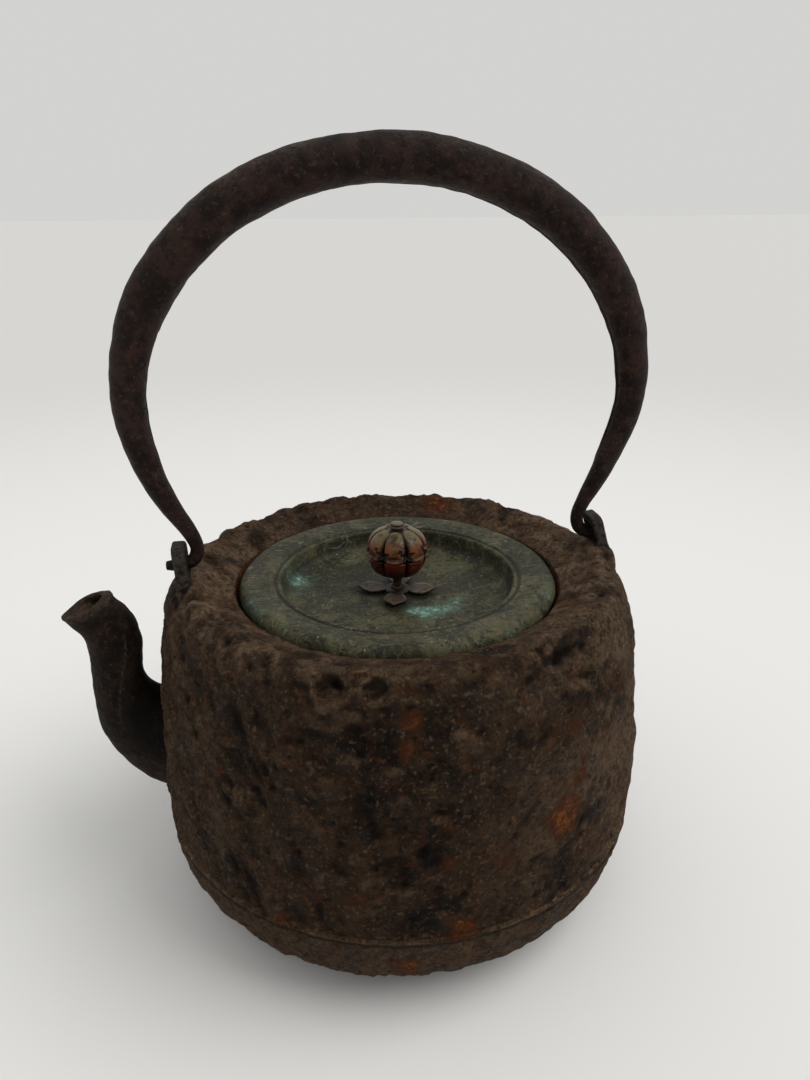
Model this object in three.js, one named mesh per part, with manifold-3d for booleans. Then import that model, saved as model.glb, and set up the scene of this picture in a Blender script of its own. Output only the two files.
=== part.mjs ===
// Cast iron kettle (tetsubin): a one-piece cast pot with a cast-in spout and two cast-in handle
// lugs, a hollow swinging bail handle, and a bronze lid with a riveted melon-shaped knob.
// Millimetres, +Z up. The origin is the centre of the flat base. The handle swings about an
// axis along X, and the spout points to -X.

import * as THREE from 'three';
import { mergeVertices } from 'three/addons/utils/BufferGeometryUtils.js';
import Module from 'manifold-3d';

const wasm = await Module();
wasm.setup();

// ---- driving dimensions ---------------------------------------------------------------------

const GAP = 0.3; // clearance between pieces that rest on or fit into each other

// pot
const BASE_RADIUS = 48;
const SEAM_RADIUS = 82; // widest place, where the two halves of the mould met
const SEAM_HEIGHT = 33.2;
const WALL = 3.5;
const SHOULDER_RADIUS = 68.1; // crest of the rocky shoulder
const SHOULDER_HEIGHT = 113.3;
const MOUTH_EDGE_RADIUS = 54;
const MOUTH_EDGE_HEIGHT = 108.6;
const SEAT_HEIGHT = 104; // ledge that the lid rests on
const BORE_RADIUS = 46.2;
const LEDGE_THICKNESS = 3.7;

// handle and its lugs
const HINGE_HEIGHT = 119;
const ARCH_HALF_WIDTH = 78.9; // centreline of the bail
const ARCH_SPRING = 50; // height of the widest place above the hinge
const ARCH_RISE = 67.5; // from the widest place up to the crown
const CROWN_RADIUS = 7.05; // section of the hollow bail at the crown
const HANDLE_LEAN = THREE.MathUtils.degToRad(3); // it rests leaning slightly back, to +Y
const SHEET = 1.3; // rolled sheet of the hollow bail
const SEAM_SLIT = 0.5;
const PIN_RADIUS = 2;
const SPOUT_LEG_SPREAD = 1.6; // the leg on the spout's side is bent a little wider
const HOOK_SHIFT = 0.6; // both hooked ends sit this much nearer the spout than the arch does
const LUGS = [
  // where the middle of the plate crosses the hinge axis, and how far its top leans to -X per
  // millimetre of height: the two castings are not quite upright
  { name: 'lug_spout_side', x: -69.8, lean: 0.05 },
  { name: 'lug_far_side', x: 69.9, lean: 0.25 },
];
const LUG_THICKNESS = 4.4;
const LUG_HALF_WIDTH = 5.25;
const LUG_TOP = 7; // above the hinge
const LUG_ROOT = 10.6; // below the hinge
const LUG_ROOT_HALF_WIDTH = 7.5;
const LUG_HOLE_RADIUS = 2.6;

// spout
const SPOUT_WALL = 2.3;
const SPOUT_ROOT_WALL = 5.5;

// lid
const LID_RADIUS = 52.4;
const RIM_INNER_RADIUS = 39.4;
const DISH_RADIUS = 37.6;
const DISH_FLOOR = -1.4; // relative to the flange's underside
const DISH_THICKNESS = 2.5;
const COLLAR_OUTER = 45.6;
const COLLAR_INNER = 43.2;
const COLLAR_DEPTH = 8.3;
const STEM_RADIUS = 1.6;
const STEM_HOLE = 1.95;

// knob
const KNOB_RADIUS = 10.15;
const KNOB_HALF_HEIGHT = 8.6;
const KNOB_FULLNESS = 2.5; // exponent of the profile: 2 is an ellipse, more is squarer
const KNOB_CENTRE = 14.6; // above the dish floor
const KNOB_SEAM = -0.2; // edge of the upper shell, relative to the knob's centre
const KNOB_SHELL = 1.1;
const LOBES = 7;
const LOBE_DEPTH = 0.1; // share of the radius that a groove takes away
const KNOB_TURN = THREE.MathUtils.degToRad(-105.6); // bearing of the middle of one lobe
const SEAT_TURN = THREE.MathUtils.degToRad(-16); // bearing of one leaf of the seat
const WASHER_RADIUS = 2.9;
const WASHER_THICKNESS = 0.5;
const TAIL_WASHER_THICKNESS = 0.7;
const BUTTON_RADIUS = 1.95;
const BUTTON_HEIGHT = 0.6;
const SEAT_LEAF_LENGTH = 13.6;
const SEAT_LEAF_HALF_WIDTH = 4.1;
const SEAT_THICKNESS = 0.8;
const SEAT_TIP_RISE = 0.3;

// fineness
const POT_SEGMENTS = 48;
const LID_SEGMENTS = 40;
const KNOB_SEGMENTS = 35;
const SMALL_SEGMENTS = 16;
const SPOUT_SIDES = 16;
const SPOUT_STEPS = 15;
const HANDLE_SIDES = 12;
const LEG_STEPS = 15;
const ARCH_STEPS = 20;
const KNOB_STEPS = 6;

// ---- geometry helpers -----------------------------------------------------------------------

const point = ([radius, height]) => new THREE.Vector2(radius, height);

// Positions only, with shared vertices merged, ready for a boolean.
function bare(geometry) {
  const copy = geometry.clone();
  copy.deleteAttribute('normal');
  copy.deleteAttribute('uv');
  return mergeVertices(copy, 1e-4);
}

function signedVolume(geometry) {
  const position = geometry.getAttribute('position');
  const index = geometry.getIndex();
  const [a, b, c] = [new THREE.Vector3(), new THREE.Vector3(), new THREE.Vector3()];
  let volume = 0;
  for (let i = 0; i < index.count; i += 3) {
    a.fromBufferAttribute(position, index.getX(i));
    b.fromBufferAttribute(position, index.getX(i + 1));
    c.fromBufferAttribute(position, index.getX(i + 2));
    volume += a.dot(b.cross(c)) / 6;
  }
  return volume;
}

// A merged closed geometry with its faces pointing out.
function outward(geometry) {
  const merged = bare(geometry);
  if (signedVolume(merged) < 0) {
    merged.getIndex().array.reverse();
  }
  return merged;
}

function toSolid(geometry) {
  const closed = outward(geometry);
  const vertProperties = new Float32Array(closed.getAttribute('position').array);
  const triVerts = new Uint32Array(closed.getIndex().array);
  return new wasm.Manifold(new wasm.Mesh({ numProp: 3, vertProperties, triVerts }));
}

function toGeometry(solid) {
  const { vertProperties, triVerts } = solid.getMesh();
  const geometry = new THREE.BufferGeometry();
  geometry.setAttribute('position', new THREE.Float32BufferAttribute(vertProperties, 3));
  geometry.setIndex(new THREE.Uint32BufferAttribute(triVerts, 1));
  return geometry;
}

// A profile of [radius, height] turned about the Z axis.
function turned(profile, segments) {
  const geometry = new THREE.LatheGeometry(profile.map(point), segments);
  return geometry.rotateX(Math.PI / 2);
}

// A smooth open curve through [radius, height] points, sampled in equal steps.
function smooth(points, steps) {
  const curve = new THREE.SplineCurve(points.map(point));
  return curve.getPoints(steps).map(({ x, y }) => [x, y]);
}

// A skin over rings of equally many points, closed by a fan at each end.
function loft(rings) {
  const sides = rings[0].length;
  const positions = rings.flat().flatMap((p) => [p.x, p.y, p.z]);
  const indices = [];
  for (let ring = 0; ring < rings.length - 1; ring += 1) {
    for (let side = 0; side < sides; side += 1) {
      const a = ring * sides + side;
      const b = ring * sides + ((side + 1) % sides);
      indices.push(a, b, a + sides, b, b + sides, a + sides);
    }
  }
  [rings[0], rings.at(-1)].forEach((ring, end) => {
    const centre = new THREE.Vector3();
    ring.forEach((p) => centre.add(p));
    centre.divideScalar(sides);
    const hub = positions.length / 3;
    positions.push(centre.x, centre.y, centre.z);
    const first = end === 0 ? 0 : (rings.length - 1) * sides;
    for (let side = 0; side < sides; side += 1) {
      const a = first + side;
      const b = first + ((side + 1) % sides);
      indices.push(...(end === 0 ? [hub, b, a] : [hub, a, b]));
    }
  });
  const geometry = new THREE.BufferGeometry();
  geometry.setAttribute('position', new THREE.Float32BufferAttribute(positions, 3));
  geometry.setIndex(indices);
  return geometry;
}

// ---- materials ------------------------------------------------------------------------------

const finish = (color, roughness, metalness) =>
  new THREE.MeshStandardMaterial({ color, roughness, metalness });

const MATERIALS = {
  castIron: () => finish('#3a2c24', 0.85, 0.4),
  spoutIron: () => finish('#35291f', 0.75, 0.4),
  handleIron: () => finish('#2f241f', 0.65, 0.5),
  lugIron: () => finish('#3b3430', 0.65, 0.5),
  bronze: () => finish('#4a4a3e', 0.55, 0.7),
  copper: () => finish('#7a4a30', 0.45, 0.7),
  redCopper: () => finish('#5c2216', 0.4, 0.7),
  brass: () => finish('#5b5239', 0.5, 0.7),
};

function piece(name, geometry, material) {
  const closed = outward(geometry);
  closed.computeVertexNormals();
  const mesh = new THREE.Mesh(closed, material);
  mesh.name = name;
  return mesh;
}

// ---- pot ------------------------------------------------------------------------------------

const lowerBowl = [
  [BASE_RADIUS, 0], [62, 4.4], [73.6, 11.2], [79.6, 21], [SEAM_RADIUS, SEAM_HEIGHT],
];
const wallOutside = [
  [81.3, 34.6], [81.7, 51], [80.6, 70.2], [78.3, 90.6], [74.1, 107.5],
  [SHOULDER_RADIUS, SHOULDER_HEIGHT], [61, 111.6], [MOUTH_EDGE_RADIUS, MOUTH_EDGE_HEIGHT],
];
const mouth = [
  [MOUTH_EDGE_RADIUS - 0.6, MOUTH_EDGE_HEIGHT - 1],
  [MOUTH_EDGE_RADIUS - 0.6, SEAT_HEIGHT],
  [BORE_RADIUS, SEAT_HEIGHT],
  [BORE_RADIUS, SEAT_HEIGHT - LEDGE_THICKNESS],
];
const cavityTop = [
  [BORE_RADIUS, SEAT_HEIGHT - LEDGE_THICKNESS], [55, 100.6], [60, 104.6], [65.5, 107],
  [70.4, 102], [74.8, 89],
];
const cavityWall = [
  [74.8, 89], [77.1, 70], [78.2, 51], [78.2, SEAM_HEIGHT], [76.2, 22.5], [71.2, 14.2],
  [61, 8], [BASE_RADIUS, WALL + 0.5], [20, WALL], [0, WALL],
];

function potBlank() {
  return turned([
    [0, 0],
    ...smooth(lowerBowl, 8),
    ...smooth(wallOutside, 17),
    ...mouth,
    ...smooth(cavityTop, 8).slice(1),
    ...smooth(cavityWall, 13).slice(1),
  ], POT_SEGMENTS);
}

// The room inside the pot, used to trim what is cast into its wall.
function cavityBlank() {
  return turned([
    [0, SEAT_HEIGHT - LEDGE_THICKNESS],
    ...smooth(cavityTop, 8),
    ...smooth(cavityWall, 13).slice(1),
  ], POT_SEGMENTS);
}

// ---- spout ----------------------------------------------------------------------------------

// Sections from inside the wall to the lip. Each has its outer (lower) and inner (upper) edge
// in the XZ plane and its half width across Y.
const SPOUT_SECTIONS = [
  { outer: [-70, 38.6], inner: [-70, 71.6], half: 12.5 },
  { outer: [-79.5, 36.8], inner: [-77.5, 73.6], half: 12.8 },
  { outer: [-85.6, 39.8], inner: [-80.2, 74.4], half: 12.2 },
  { outer: [-91.8, 45.2], inner: [-82.4, 75.9], half: 11 },
  { outer: [-97.1, 52.2], inner: [-84, 77.9], half: 9.8 },
  { outer: [-100.6, 60.8], inner: [-85.1, 80.4], half: 9 },
  { outer: [-102, 70], inner: [-85.4, 84], half: 8.6 },
  { outer: [-101.9, 79.2], inner: [-85.1, 88.6], half: 8.4 },
  { outer: [-101.4, 88.2], inner: [-84.9, 93.6], half: 8.3 },
  { outer: [-101.4, 95], inner: [-85.8, 100], half: 8.2 },
  { outer: [-103.4, 99.8], inner: [-88.4, 105.8], half: 8.1 },
  { outer: [-107.6, 103.8], inner: [-92.8, 110.2], half: 8 },
];

function edgeCurve(edge) {
  return new THREE.SplineCurve(SPOUT_SECTIONS.map((section) => point(section[edge])));
}

const outerEdge = edgeCurve('outer');
const innerEdge = edgeCurve('inner');
const spoutHalf = new THREE.SplineCurve(
  SPOUT_SECTIONS.map((section, i) => new THREE.Vector2(i, section.half)),
);

// An elliptical section at t (0 in the wall, 1 at the lip), shrunk all round by inset.
function spoutRing(t, inset) {
  const low = outerEdge.getPoint(t);
  const high = innerEdge.getPoint(t);
  const centre = low.clone().add(high).multiplyScalar(0.5);
  const across = low.clone().sub(centre);
  const reach = across.length();
  across.multiplyScalar((reach - inset) / reach);
  const half = spoutHalf.getPoint(t).y - inset;
  return Array.from({ length: SPOUT_SIDES }, (_, side) => {
    const angle = (2 * Math.PI * side) / SPOUT_SIDES;
    return new THREE.Vector3(
      centre.x + across.x * Math.cos(angle),
      half * Math.sin(angle),
      centre.y + across.y * Math.cos(angle),
    );
  });
}

function spoutSkin(insetAt) {
  return Array.from({ length: SPOUT_STEPS + 1 }, (_, i) => {
    const t = i / SPOUT_STEPS;
    return spoutRing(t, insetAt(t));
  });
}

// The last ring moved along the way the spout points there.
function lengthened(rings, by) {
  const [before, last] = rings.slice(-2);
  const way = last[0].clone().add(last[SPOUT_SIDES / 2]);
  way.sub(before[0]).sub(before[SPOUT_SIDES / 2]).setLength(by);
  return [...rings, last.map((p) => p.clone().add(way))];
}

function spoutSolid() {
  const boreInset = (t) => THREE.MathUtils.lerp(SPOUT_ROOT_WALL, SPOUT_WALL, Math.min(1, 1.6 * t));
  const shell = toSolid(loft(spoutSkin(() => 0)));
  const bore = toSolid(loft(lengthened(spoutSkin(boreInset), 3)));
  return shell.subtract(bore).subtract(toSolid(cavityBlank()));
}

function spoutSocket() {
  return toSolid(loft(spoutSkin(() => -GAP)));
}

// ---- handle lugs ----------------------------------------------------------------------------

// A plate about square to X, centred on the hinge axis, grown all round by grow.
function lugBlank(lean, grow) {
  const top = LUG_TOP + grow;
  const half = LUG_HALF_WIDTH + grow;
  const rootHalf = LUG_ROOT_HALF_WIDTH + grow;
  const corner = 3.5;
  const outline = new THREE.Shape();
  outline.moveTo(-rootHalf, -LUG_ROOT - grow);
  outline.lineTo(rootHalf, -LUG_ROOT - grow);
  outline.quadraticCurveTo(half, -LUG_ROOT * 0.6, half, -1);
  outline.lineTo(half, top - corner);
  outline.absarc(half - corner, top - corner, corner, 0, Math.PI / 2, false);
  outline.lineTo(corner - half, top);
  outline.absarc(corner - half, top - corner, corner, Math.PI / 2, Math.PI, false);
  outline.lineTo(-half, -1);
  outline.quadraticCurveTo(-half, -LUG_ROOT * 0.6, -rootHalf, -LUG_ROOT - grow);
  const depth = LUG_THICKNESS + 2 * grow;
  const plate = new THREE.ExtrudeGeometry(outline, { depth, bevelEnabled: false, curveSegments: 5 });
  plate.translate(0, 0, -depth / 2);
  // the outline's x becomes Y and its y becomes Z
  plate.rotateY(Math.PI / 2).rotateX(Math.PI / 2);
  const position = plate.getAttribute('position');
  for (let i = 0; i < position.count; i += 1) {
    position.setX(i, position.getX(i) - lean * position.getZ(i));
  }
  return plate;
}

function lugGeometry(lean) {
  const drill = new THREE.CylinderGeometry(LUG_HOLE_RADIUS, LUG_HOLE_RADIUS, 20, SMALL_SEGMENTS);
  drill.rotateZ(Math.PI / 2);
  return toGeometry(toSolid(lugBlank(lean, 0)).subtract(toSolid(drill)));
}

function lugPocket({ x, lean }) {
  return toSolid(lugBlank(lean, GAP).translate(x, 0, HINGE_HEIGHT));
}

function potGeometry() {
  const walled = toSolid(potBlank()).subtract(spoutSocket());
  const pockets = LUGS.map(lugPocket);
  return toGeometry(pockets.reduce((solid, pocket) => solid.subtract(pocket), walled));
}

// ---- handle ---------------------------------------------------------------------------------

// One leg of the bail from the tip of its pin up to the widest place: x, height above the
// hinge, radius of the section.
const LEG = [
  [73.5, 0, 1.4], [70, 0, PIN_RADIUS], [66.8, 0.2, PIN_RADIUS], [64.2, 2.2, 2.2],
  [63.3, 6, 2.2], [65.2, 11.6, 2.6], [69.5, 20, 3.3], [72.9, 28, 3.9], [76, 36, 4.4],
  [78.2, 43.5, 4.8], [ARCH_HALF_WIDTH, ARCH_SPRING, 5.1],
];

// Radius of the bail by its angle above the widest place, in radians.
function archRadius(angle) {
  const share = Math.min(1, angle / THREE.MathUtils.degToRad(50));
  return THREE.MathUtils.lerp(5.1, CROWN_RADIUS, Math.sin((share * Math.PI) / 2));
}

// Centres and radii all the way from the far pin over the crown to the spout-side pin.
function bailStations() {
  const path = new THREE.CatmullRomCurve3(
    LEG.map(([x, z]) => new THREE.Vector3(x, 0, z)), false, 'catmullrom', 0.5,
  );
  const girth = new THREE.SplineCurve(LEG.map(([, , r], i) => new THREE.Vector2(i, r)));
  const leg = (side, spread) => Array.from({ length: LEG_STEPS }, (_, i) => {
    const t = i / LEG_STEPS;
    const { x, z } = path.getPoint(t);
    const wider = spread * Math.sin((Math.PI * z) / ARCH_SPRING) ** 2;
    const shift = HOOK_SHIFT * (1 - THREE.MathUtils.smoothstep(z, 6, 24));
    return { x: side * (x + wider) - shift, z, radius: girth.getPoint(t).y };
  });
  const arch = Array.from({ length: ARCH_STEPS + 1 }, (_, i) => {
    const angle = (Math.PI * i) / ARCH_STEPS;
    return {
      x: ARCH_HALF_WIDTH * Math.cos(angle),
      z: ARCH_SPRING + ARCH_RISE * Math.sin(angle),
      radius: archRadius(Math.min(angle, Math.PI - angle)),
    };
  });
  return [...leg(1, 0), ...arch, ...leg(-1, SPOUT_LEG_SPREAD).reverse()];
}

// The outward normal of the path in the XZ plane at one station.
function bailNormal(stations, i) {
  const before = stations[Math.max(0, i - 1)];
  const after = stations[Math.min(stations.length - 1, i + 1)];
  const way = new THREE.Vector2(after.x - before.x, after.z - before.z).normalize();
  return { x: way.y, z: -way.x };
}

function bailRings(stations, radiusOf) {
  return stations.map((station, i) => {
    const normal = bailNormal(stations, i);
    const radius = radiusOf(station);
    return Array.from({ length: HANDLE_SIDES }, (_, side) => {
      const angle = (2 * Math.PI * side) / HANDLE_SIDES;
      return new THREE.Vector3(
        station.x + normal.x * radius * Math.cos(angle),
        radius * Math.sin(angle),
        station.z + normal.z * radius * Math.cos(angle),
      );
    });
  });
}

// A thin strip on the inner side of the bail, through the rolled sheet.
function slitRings(stations) {
  return stations.map((station, i) => {
    const normal = bailNormal(stations, i);
    const corners = [[0.5, -1], [0.5, 1], [1.2, 1], [1.2, -1]];
    return corners.map(([share, side]) => new THREE.Vector3(
      station.x - normal.x * station.radius * share,
      (side * SEAM_SLIT) / 2,
      station.z - normal.z * station.radius * share,
    ));
  });
}

function handleGeometry() {
  const stations = bailStations();
  const hollow = stations.filter(({ z }) => z > 30);
  const bail = toSolid(loft(bailRings(stations, ({ radius }) => radius)));
  const core = toSolid(loft(bailRings(hollow, ({ radius }) => radius - SHEET)));
  const slit = toSolid(loft(slitRings(hollow.slice(1, -1))));
  return toGeometry(bail.subtract(core).subtract(slit));
}

// ---- lid ------------------------------------------------------------------------------------

// Heights are above the underside of the flange, which rests on the ledge in the mouth.
const LID_PROFILE = [
  [STEM_HOLE, DISH_FLOOR - DISH_THICKNESS],
  [DISH_RADIUS, DISH_FLOOR - DISH_THICKNESS],
  [40.8, 2],
  [COLLAR_INNER, 2],
  [COLLAR_INNER, -COLLAR_DEPTH],
  [COLLAR_OUTER, -COLLAR_DEPTH],
  [COLLAR_OUTER, 0],
  [50.2, 0],
  [51.6, 0.7],
  [LID_RADIUS, 2.3],
  [52.1, 3.9],
  [51.2, 5.4],
  [49.7, 6.2],
  [48, 6.1],
  [40.8, 5],
  [40.3, 4.5],
  [RIM_INNER_RADIUS, 4.9],
  [38.8, 4.4],
  [38.2, 0],
  [36.6, DISH_FLOOR],
  [STEM_HOLE, DISH_FLOOR],
  [STEM_HOLE, DISH_FLOOR - DISH_THICKNESS],
];

// Four pointed leaves in a cross, cut from one sheet and bent up at their tips.
function seatGeometry() {
  const neck = 1.5;
  const hub = 3.4;
  const outline = new THREE.Shape();
  const leaf = [
    [hub, -neck], [4.2, -neck], [8.9, -SEAT_LEAF_HALF_WIDTH], [SEAT_LEAF_LENGTH, 0],
    [8.9, SEAT_LEAF_HALF_WIDTH], [4.2, neck], [hub, neck],
  ];
  for (let quarter = 0; quarter < 4; quarter += 1) {
    const turn = (quarter * Math.PI) / 2;
    leaf.forEach(([along, across], i) => {
      const x = along * Math.cos(turn) - across * Math.sin(turn);
      const y = along * Math.sin(turn) + across * Math.cos(turn);
      if (quarter === 0 && i === 0) {
        outline.moveTo(x, y);
      } else {
        outline.lineTo(x, y);
      }
    });
  }
  outline.holes.push(new THREE.Path().absarc(0, 0, STEM_HOLE, 0, 2 * Math.PI, true));
  const depth = SEAT_THICKNESS;
  const sheet = new THREE.ExtrudeGeometry(outline, { depth, bevelEnabled: false, curveSegments: 8 });
  const position = sheet.getAttribute('position');
  for (let i = 0; i < position.count; i += 1) {
    const reach = Math.hypot(position.getX(i), position.getY(i));
    const bend = Math.max(0, (reach - 5) / (SEAT_LEAF_LENGTH - 5));
    position.setZ(i, position.getZ(i) + SEAT_TIP_RISE * bend * bend);
  }
  return sheet;
}

// ---- knob -----------------------------------------------------------------------------------

// Share of the groove depth at a bearing: 1 in a groove, 0 on the crest of a lobe.
function grooveShare(bearing) {
  const turn = ((bearing * LOBES) / (2 * Math.PI) + 100.5) % 1;
  return Math.abs(2 * turn - 1) ** 5;
}

// Radius of the knob at a height above its centre.
const knobRadius = (height, radius, half) => {
  const share = Math.min(1, Math.abs(height / half)) ** KNOB_FULLNESS;
  return radius * (1 - share) ** (1 / KNOB_FULLNESS);
};

// One shell of the knob between two heights, open at the seam and drilled on the axis.
function knobShell(from, to) {
  const wall = (radius, half) => Array.from({ length: KNOB_STEPS + 1 }, (_, i) => {
    const height = THREE.MathUtils.lerp(from, to, i / KNOB_STEPS);
    const within = THREE.MathUtils.clamp(height, -half, half);
    return [Math.max(STEM_HOLE, knobRadius(within, radius, half)), within];
  });
  const outside = wall(KNOB_RADIUS, KNOB_HALF_HEIGHT);
  const inside = wall(KNOB_RADIUS - KNOB_SHELL, KNOB_HALF_HEIGHT - KNOB_SHELL).reverse();
  const geometry = turned([...outside, ...inside, outside[0]], KNOB_SEGMENTS);
  const position = geometry.getAttribute('position');
  for (let i = 0; i < position.count; i += 1) {
    const [x, y] = [position.getX(i), position.getY(i)];
    const reach = Math.hypot(x, y);
    const share = THREE.MathUtils.smoothstep(reach, STEM_HOLE, 7);
    const scale = 1 - LOBE_DEPTH * share * grooveShare(Math.atan2(y, x));
    position.setX(i, x * scale);
    position.setY(i, y * scale);
  }
  return geometry;
}

function washer(radius, thickness) {
  return turned([
    [STEM_HOLE, 0], [radius, 0], [radius, thickness * 0.6], [radius - 0.4, thickness],
    [STEM_HOLE, thickness], [STEM_HOLE, 0],
  ], SMALL_SEGMENTS);
}

// The rivet that holds lid, seat and knob together; its origin is on the dish floor.
function rivetGeometry(tailTop, headUnderside) {
  return turned([
    [0, tailTop - 1.3], [2, tailTop - 1.1], [3, tailTop - 0.4], [3, tailTop],
    [STEM_RADIUS, tailTop], [STEM_RADIUS, headUnderside], [BUTTON_RADIUS, headUnderside],
    [BUTTON_RADIUS, headUnderside + 0.5 * BUTTON_HEIGHT],
    [1.4, headUnderside + 0.9 * BUTTON_HEIGHT], [0, headUnderside + BUTTON_HEIGHT],
  ], SMALL_SEGMENTS);
}

// ---- assembly -------------------------------------------------------------------------------

function lugMesh({ name, x, lean }) {
  const mesh = piece(name, lugGeometry(lean), MATERIALS.lugIron());
  mesh.position.set(x, 0, HINGE_HEIGHT);
  return mesh;
}

const pot = new THREE.Group();
pot.add(piece('kettle_body', potGeometry(), MATERIALS.castIron()));
pot.add(piece('spout', toGeometry(spoutSolid()), MATERIALS.spoutIron()));
pot.add(...LUGS.map(lugMesh));

const bail = new THREE.Group();
bail.position.z = HINGE_HEIGHT;
bail.rotation.x = -HANDLE_LEAN;
bail.add(piece('handle', handleGeometry(), MATERIALS.handleIron()));

const knobTop = KNOB_CENTRE + KNOB_HALF_HEIGHT;
const lowerWasherTop = -DISH_THICKNESS - GAP;
const knob = new THREE.Group();
knob.position.z = KNOB_CENTRE;
knob.rotation.z = KNOB_TURN;
knob.add(piece('knob_lower_shell', knobShell(-KNOB_HALF_HEIGHT, KNOB_SEAM - GAP), MATERIALS.redCopper()));
knob.add(piece('knob_upper_shell', knobShell(KNOB_SEAM, KNOB_HALF_HEIGHT), MATERIALS.copper()));

const dish = new THREE.Group();
dish.position.z = DISH_FLOOR;
const seat = piece('petal_seat', seatGeometry(), MATERIALS.brass());
seat.position.z = GAP;
seat.rotation.z = SEAT_TURN;
const topWasher = piece('knob_washer', washer(WASHER_RADIUS, WASHER_THICKNESS), MATERIALS.brass());
topWasher.position.z = knobTop + GAP;
const tailWasher = piece('rivet_washer', washer(5, TAIL_WASHER_THICKNESS), MATERIALS.brass());
tailWasher.position.z = lowerWasherTop - TAIL_WASHER_THICKNESS;
const tailTop = lowerWasherTop - TAIL_WASHER_THICKNESS - GAP;
const headUnderside = knobTop + WASHER_THICKNESS + 2 * GAP;
const rivet = piece('knob_rivet', rivetGeometry(tailTop, headUnderside), MATERIALS.redCopper());
dish.add(seat, topWasher, tailWasher, rivet, knob);

const lid = new THREE.Group();
lid.position.z = SEAT_HEIGHT + GAP;
lid.add(piece('lid', turned(LID_PROFILE, LID_SEGMENTS), MATERIALS.bronze()), dish);

const kettle = new THREE.Group();
kettle.add(pot, bail, lid);

export default kettle;
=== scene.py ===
"""Cast iron kettle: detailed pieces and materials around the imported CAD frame.

Lengths below are in millimetres until a mesh is made; meshes are in metres. +Z is up, the spout
points to -X, and azimuths are counter-clockwise from +X, in degrees unless a name says otherwise.
"""

import itertools
import math

import bmesh
import bpy
import numpy as np
from mathutils import Matrix, Vector


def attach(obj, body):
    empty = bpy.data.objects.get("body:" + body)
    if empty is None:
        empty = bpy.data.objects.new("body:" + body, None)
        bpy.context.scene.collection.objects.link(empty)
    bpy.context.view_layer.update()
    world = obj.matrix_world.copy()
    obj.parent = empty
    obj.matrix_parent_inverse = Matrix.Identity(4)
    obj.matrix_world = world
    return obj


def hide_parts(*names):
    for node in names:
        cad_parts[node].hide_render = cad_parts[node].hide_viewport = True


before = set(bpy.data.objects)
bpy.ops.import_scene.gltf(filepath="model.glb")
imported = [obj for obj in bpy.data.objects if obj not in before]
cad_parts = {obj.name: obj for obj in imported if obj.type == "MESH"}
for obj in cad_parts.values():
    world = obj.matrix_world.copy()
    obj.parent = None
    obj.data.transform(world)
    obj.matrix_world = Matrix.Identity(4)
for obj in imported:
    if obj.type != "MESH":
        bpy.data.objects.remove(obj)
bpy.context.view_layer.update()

MM = 0.001
SEED = 20

# As in the CAD
SEAM = (82.0, 33.2)  # radius and height of the mould seam, the pot's widest place
SEAT_HEIGHT = 104.0
MOUTH_RADIUS = 53.4
BORE_RADIUS = 46.2
RIVET_HOLE = 1.95
HINGE_HEIGHT = 119.0
LID_BASE = 104.3
DISH_FLOOR = 102.9
FRONT = math.radians(-100)  # the side of the pot that the camera faces


# ---- numbers and noise ----

def step(value, low, high):
    """0 below low, 1 above high, smooth between. low may be the larger."""
    share = np.clip((np.asarray(value, float) - low) / (high - low), 0, 1)
    return share * share * (3 - 2 * share)


def bell(value, middle, width):
    """1 at middle, falling away on both sides."""
    return np.exp(-((value - middle) / width) ** 2)


def smooth(points, steps):
    """A Catmull-Rom curve through points, sampled in equal steps, ends included."""
    points = np.array(points, float)
    last = len(points) - 1
    where = np.linspace(0, last, steps + 1)
    i = np.minimum(where.astype(int), last - 1)
    w = (where - i)[:, None]
    p0, p1 = points[np.maximum(i - 1, 0)], points[i]
    p2, p3 = points[i + 1], points[np.minimum(i + 2, last)]
    v0, v1 = (p2 - p0) / 2, (p3 - p1) / 2
    return (2 * p1 - 2 * p2 + v0 + v1) * w**3 + (3 * p2 - 3 * p1 - 2 * v0 - v1) * w**2 + v0 * w + p1


class Lattice:
    """Seeded random values on a whole-number lattice in 3-D."""

    made = {}

    def __init__(self, seed):
        rng = np.random.default_rng(seed)
        self.order = rng.permutation(256)
        way = rng.normal(size=(256, 3))
        self.way = way / np.linalg.norm(way, axis=1)[:, None]
        self.spot = rng.random((256, 3))
        self.chance = rng.random(256)

    def pick(self, cell):
        n = self.order[cell[:, 0] & 255]
        n = self.order[(n + cell[:, 1]) & 255]
        return self.order[(n + cell[:, 2]) & 255]

    @classmethod
    def of(cls, seed):
        if seed not in cls.made:
            cls.made[seed] = cls(SEED * 1000 + seed)
        return cls.made[seed]


def noise(points, size, seed):
    """Gradient noise, about -1 to 1, with lumps of the given size."""
    lattice = Lattice.of(seed)
    points = points / size
    base = np.floor(points).astype(int)
    offset = points - base
    ease = offset**3 * (offset * (offset * 6 - 15) + 10)
    total = np.zeros(len(points))
    for corner in itertools.product((0, 1), repeat=3):
        corner = np.array(corner)
        slope = ((offset - corner) * lattice.way[lattice.pick(base + corner)]).sum(1)
        total += slope * np.where(corner, ease, 1 - ease).prod(1)
    return total * 1.7


def cells(points, size, seed):
    """Distance to the nearest of scattered spots, in cell sizes, and a random number from 0 to 1
    that belongs to it."""
    lattice = Lattice.of(seed)
    points = points / size
    base = np.floor(points).astype(int)
    nearest = np.full(len(points), np.inf)
    chance = np.zeros(len(points))
    for way in itertools.product((-1, 0, 1), repeat=3):
        cell = base + way
        pick = lattice.pick(cell)
        reach = np.linalg.norm(cell + lattice.spot[pick] - points, axis=1)
        nearer = reach < nearest
        chance = np.where(nearer, lattice.chance[pick], chance)
        nearest = np.where(nearer, reach, nearest)
    return nearest, chance


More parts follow.
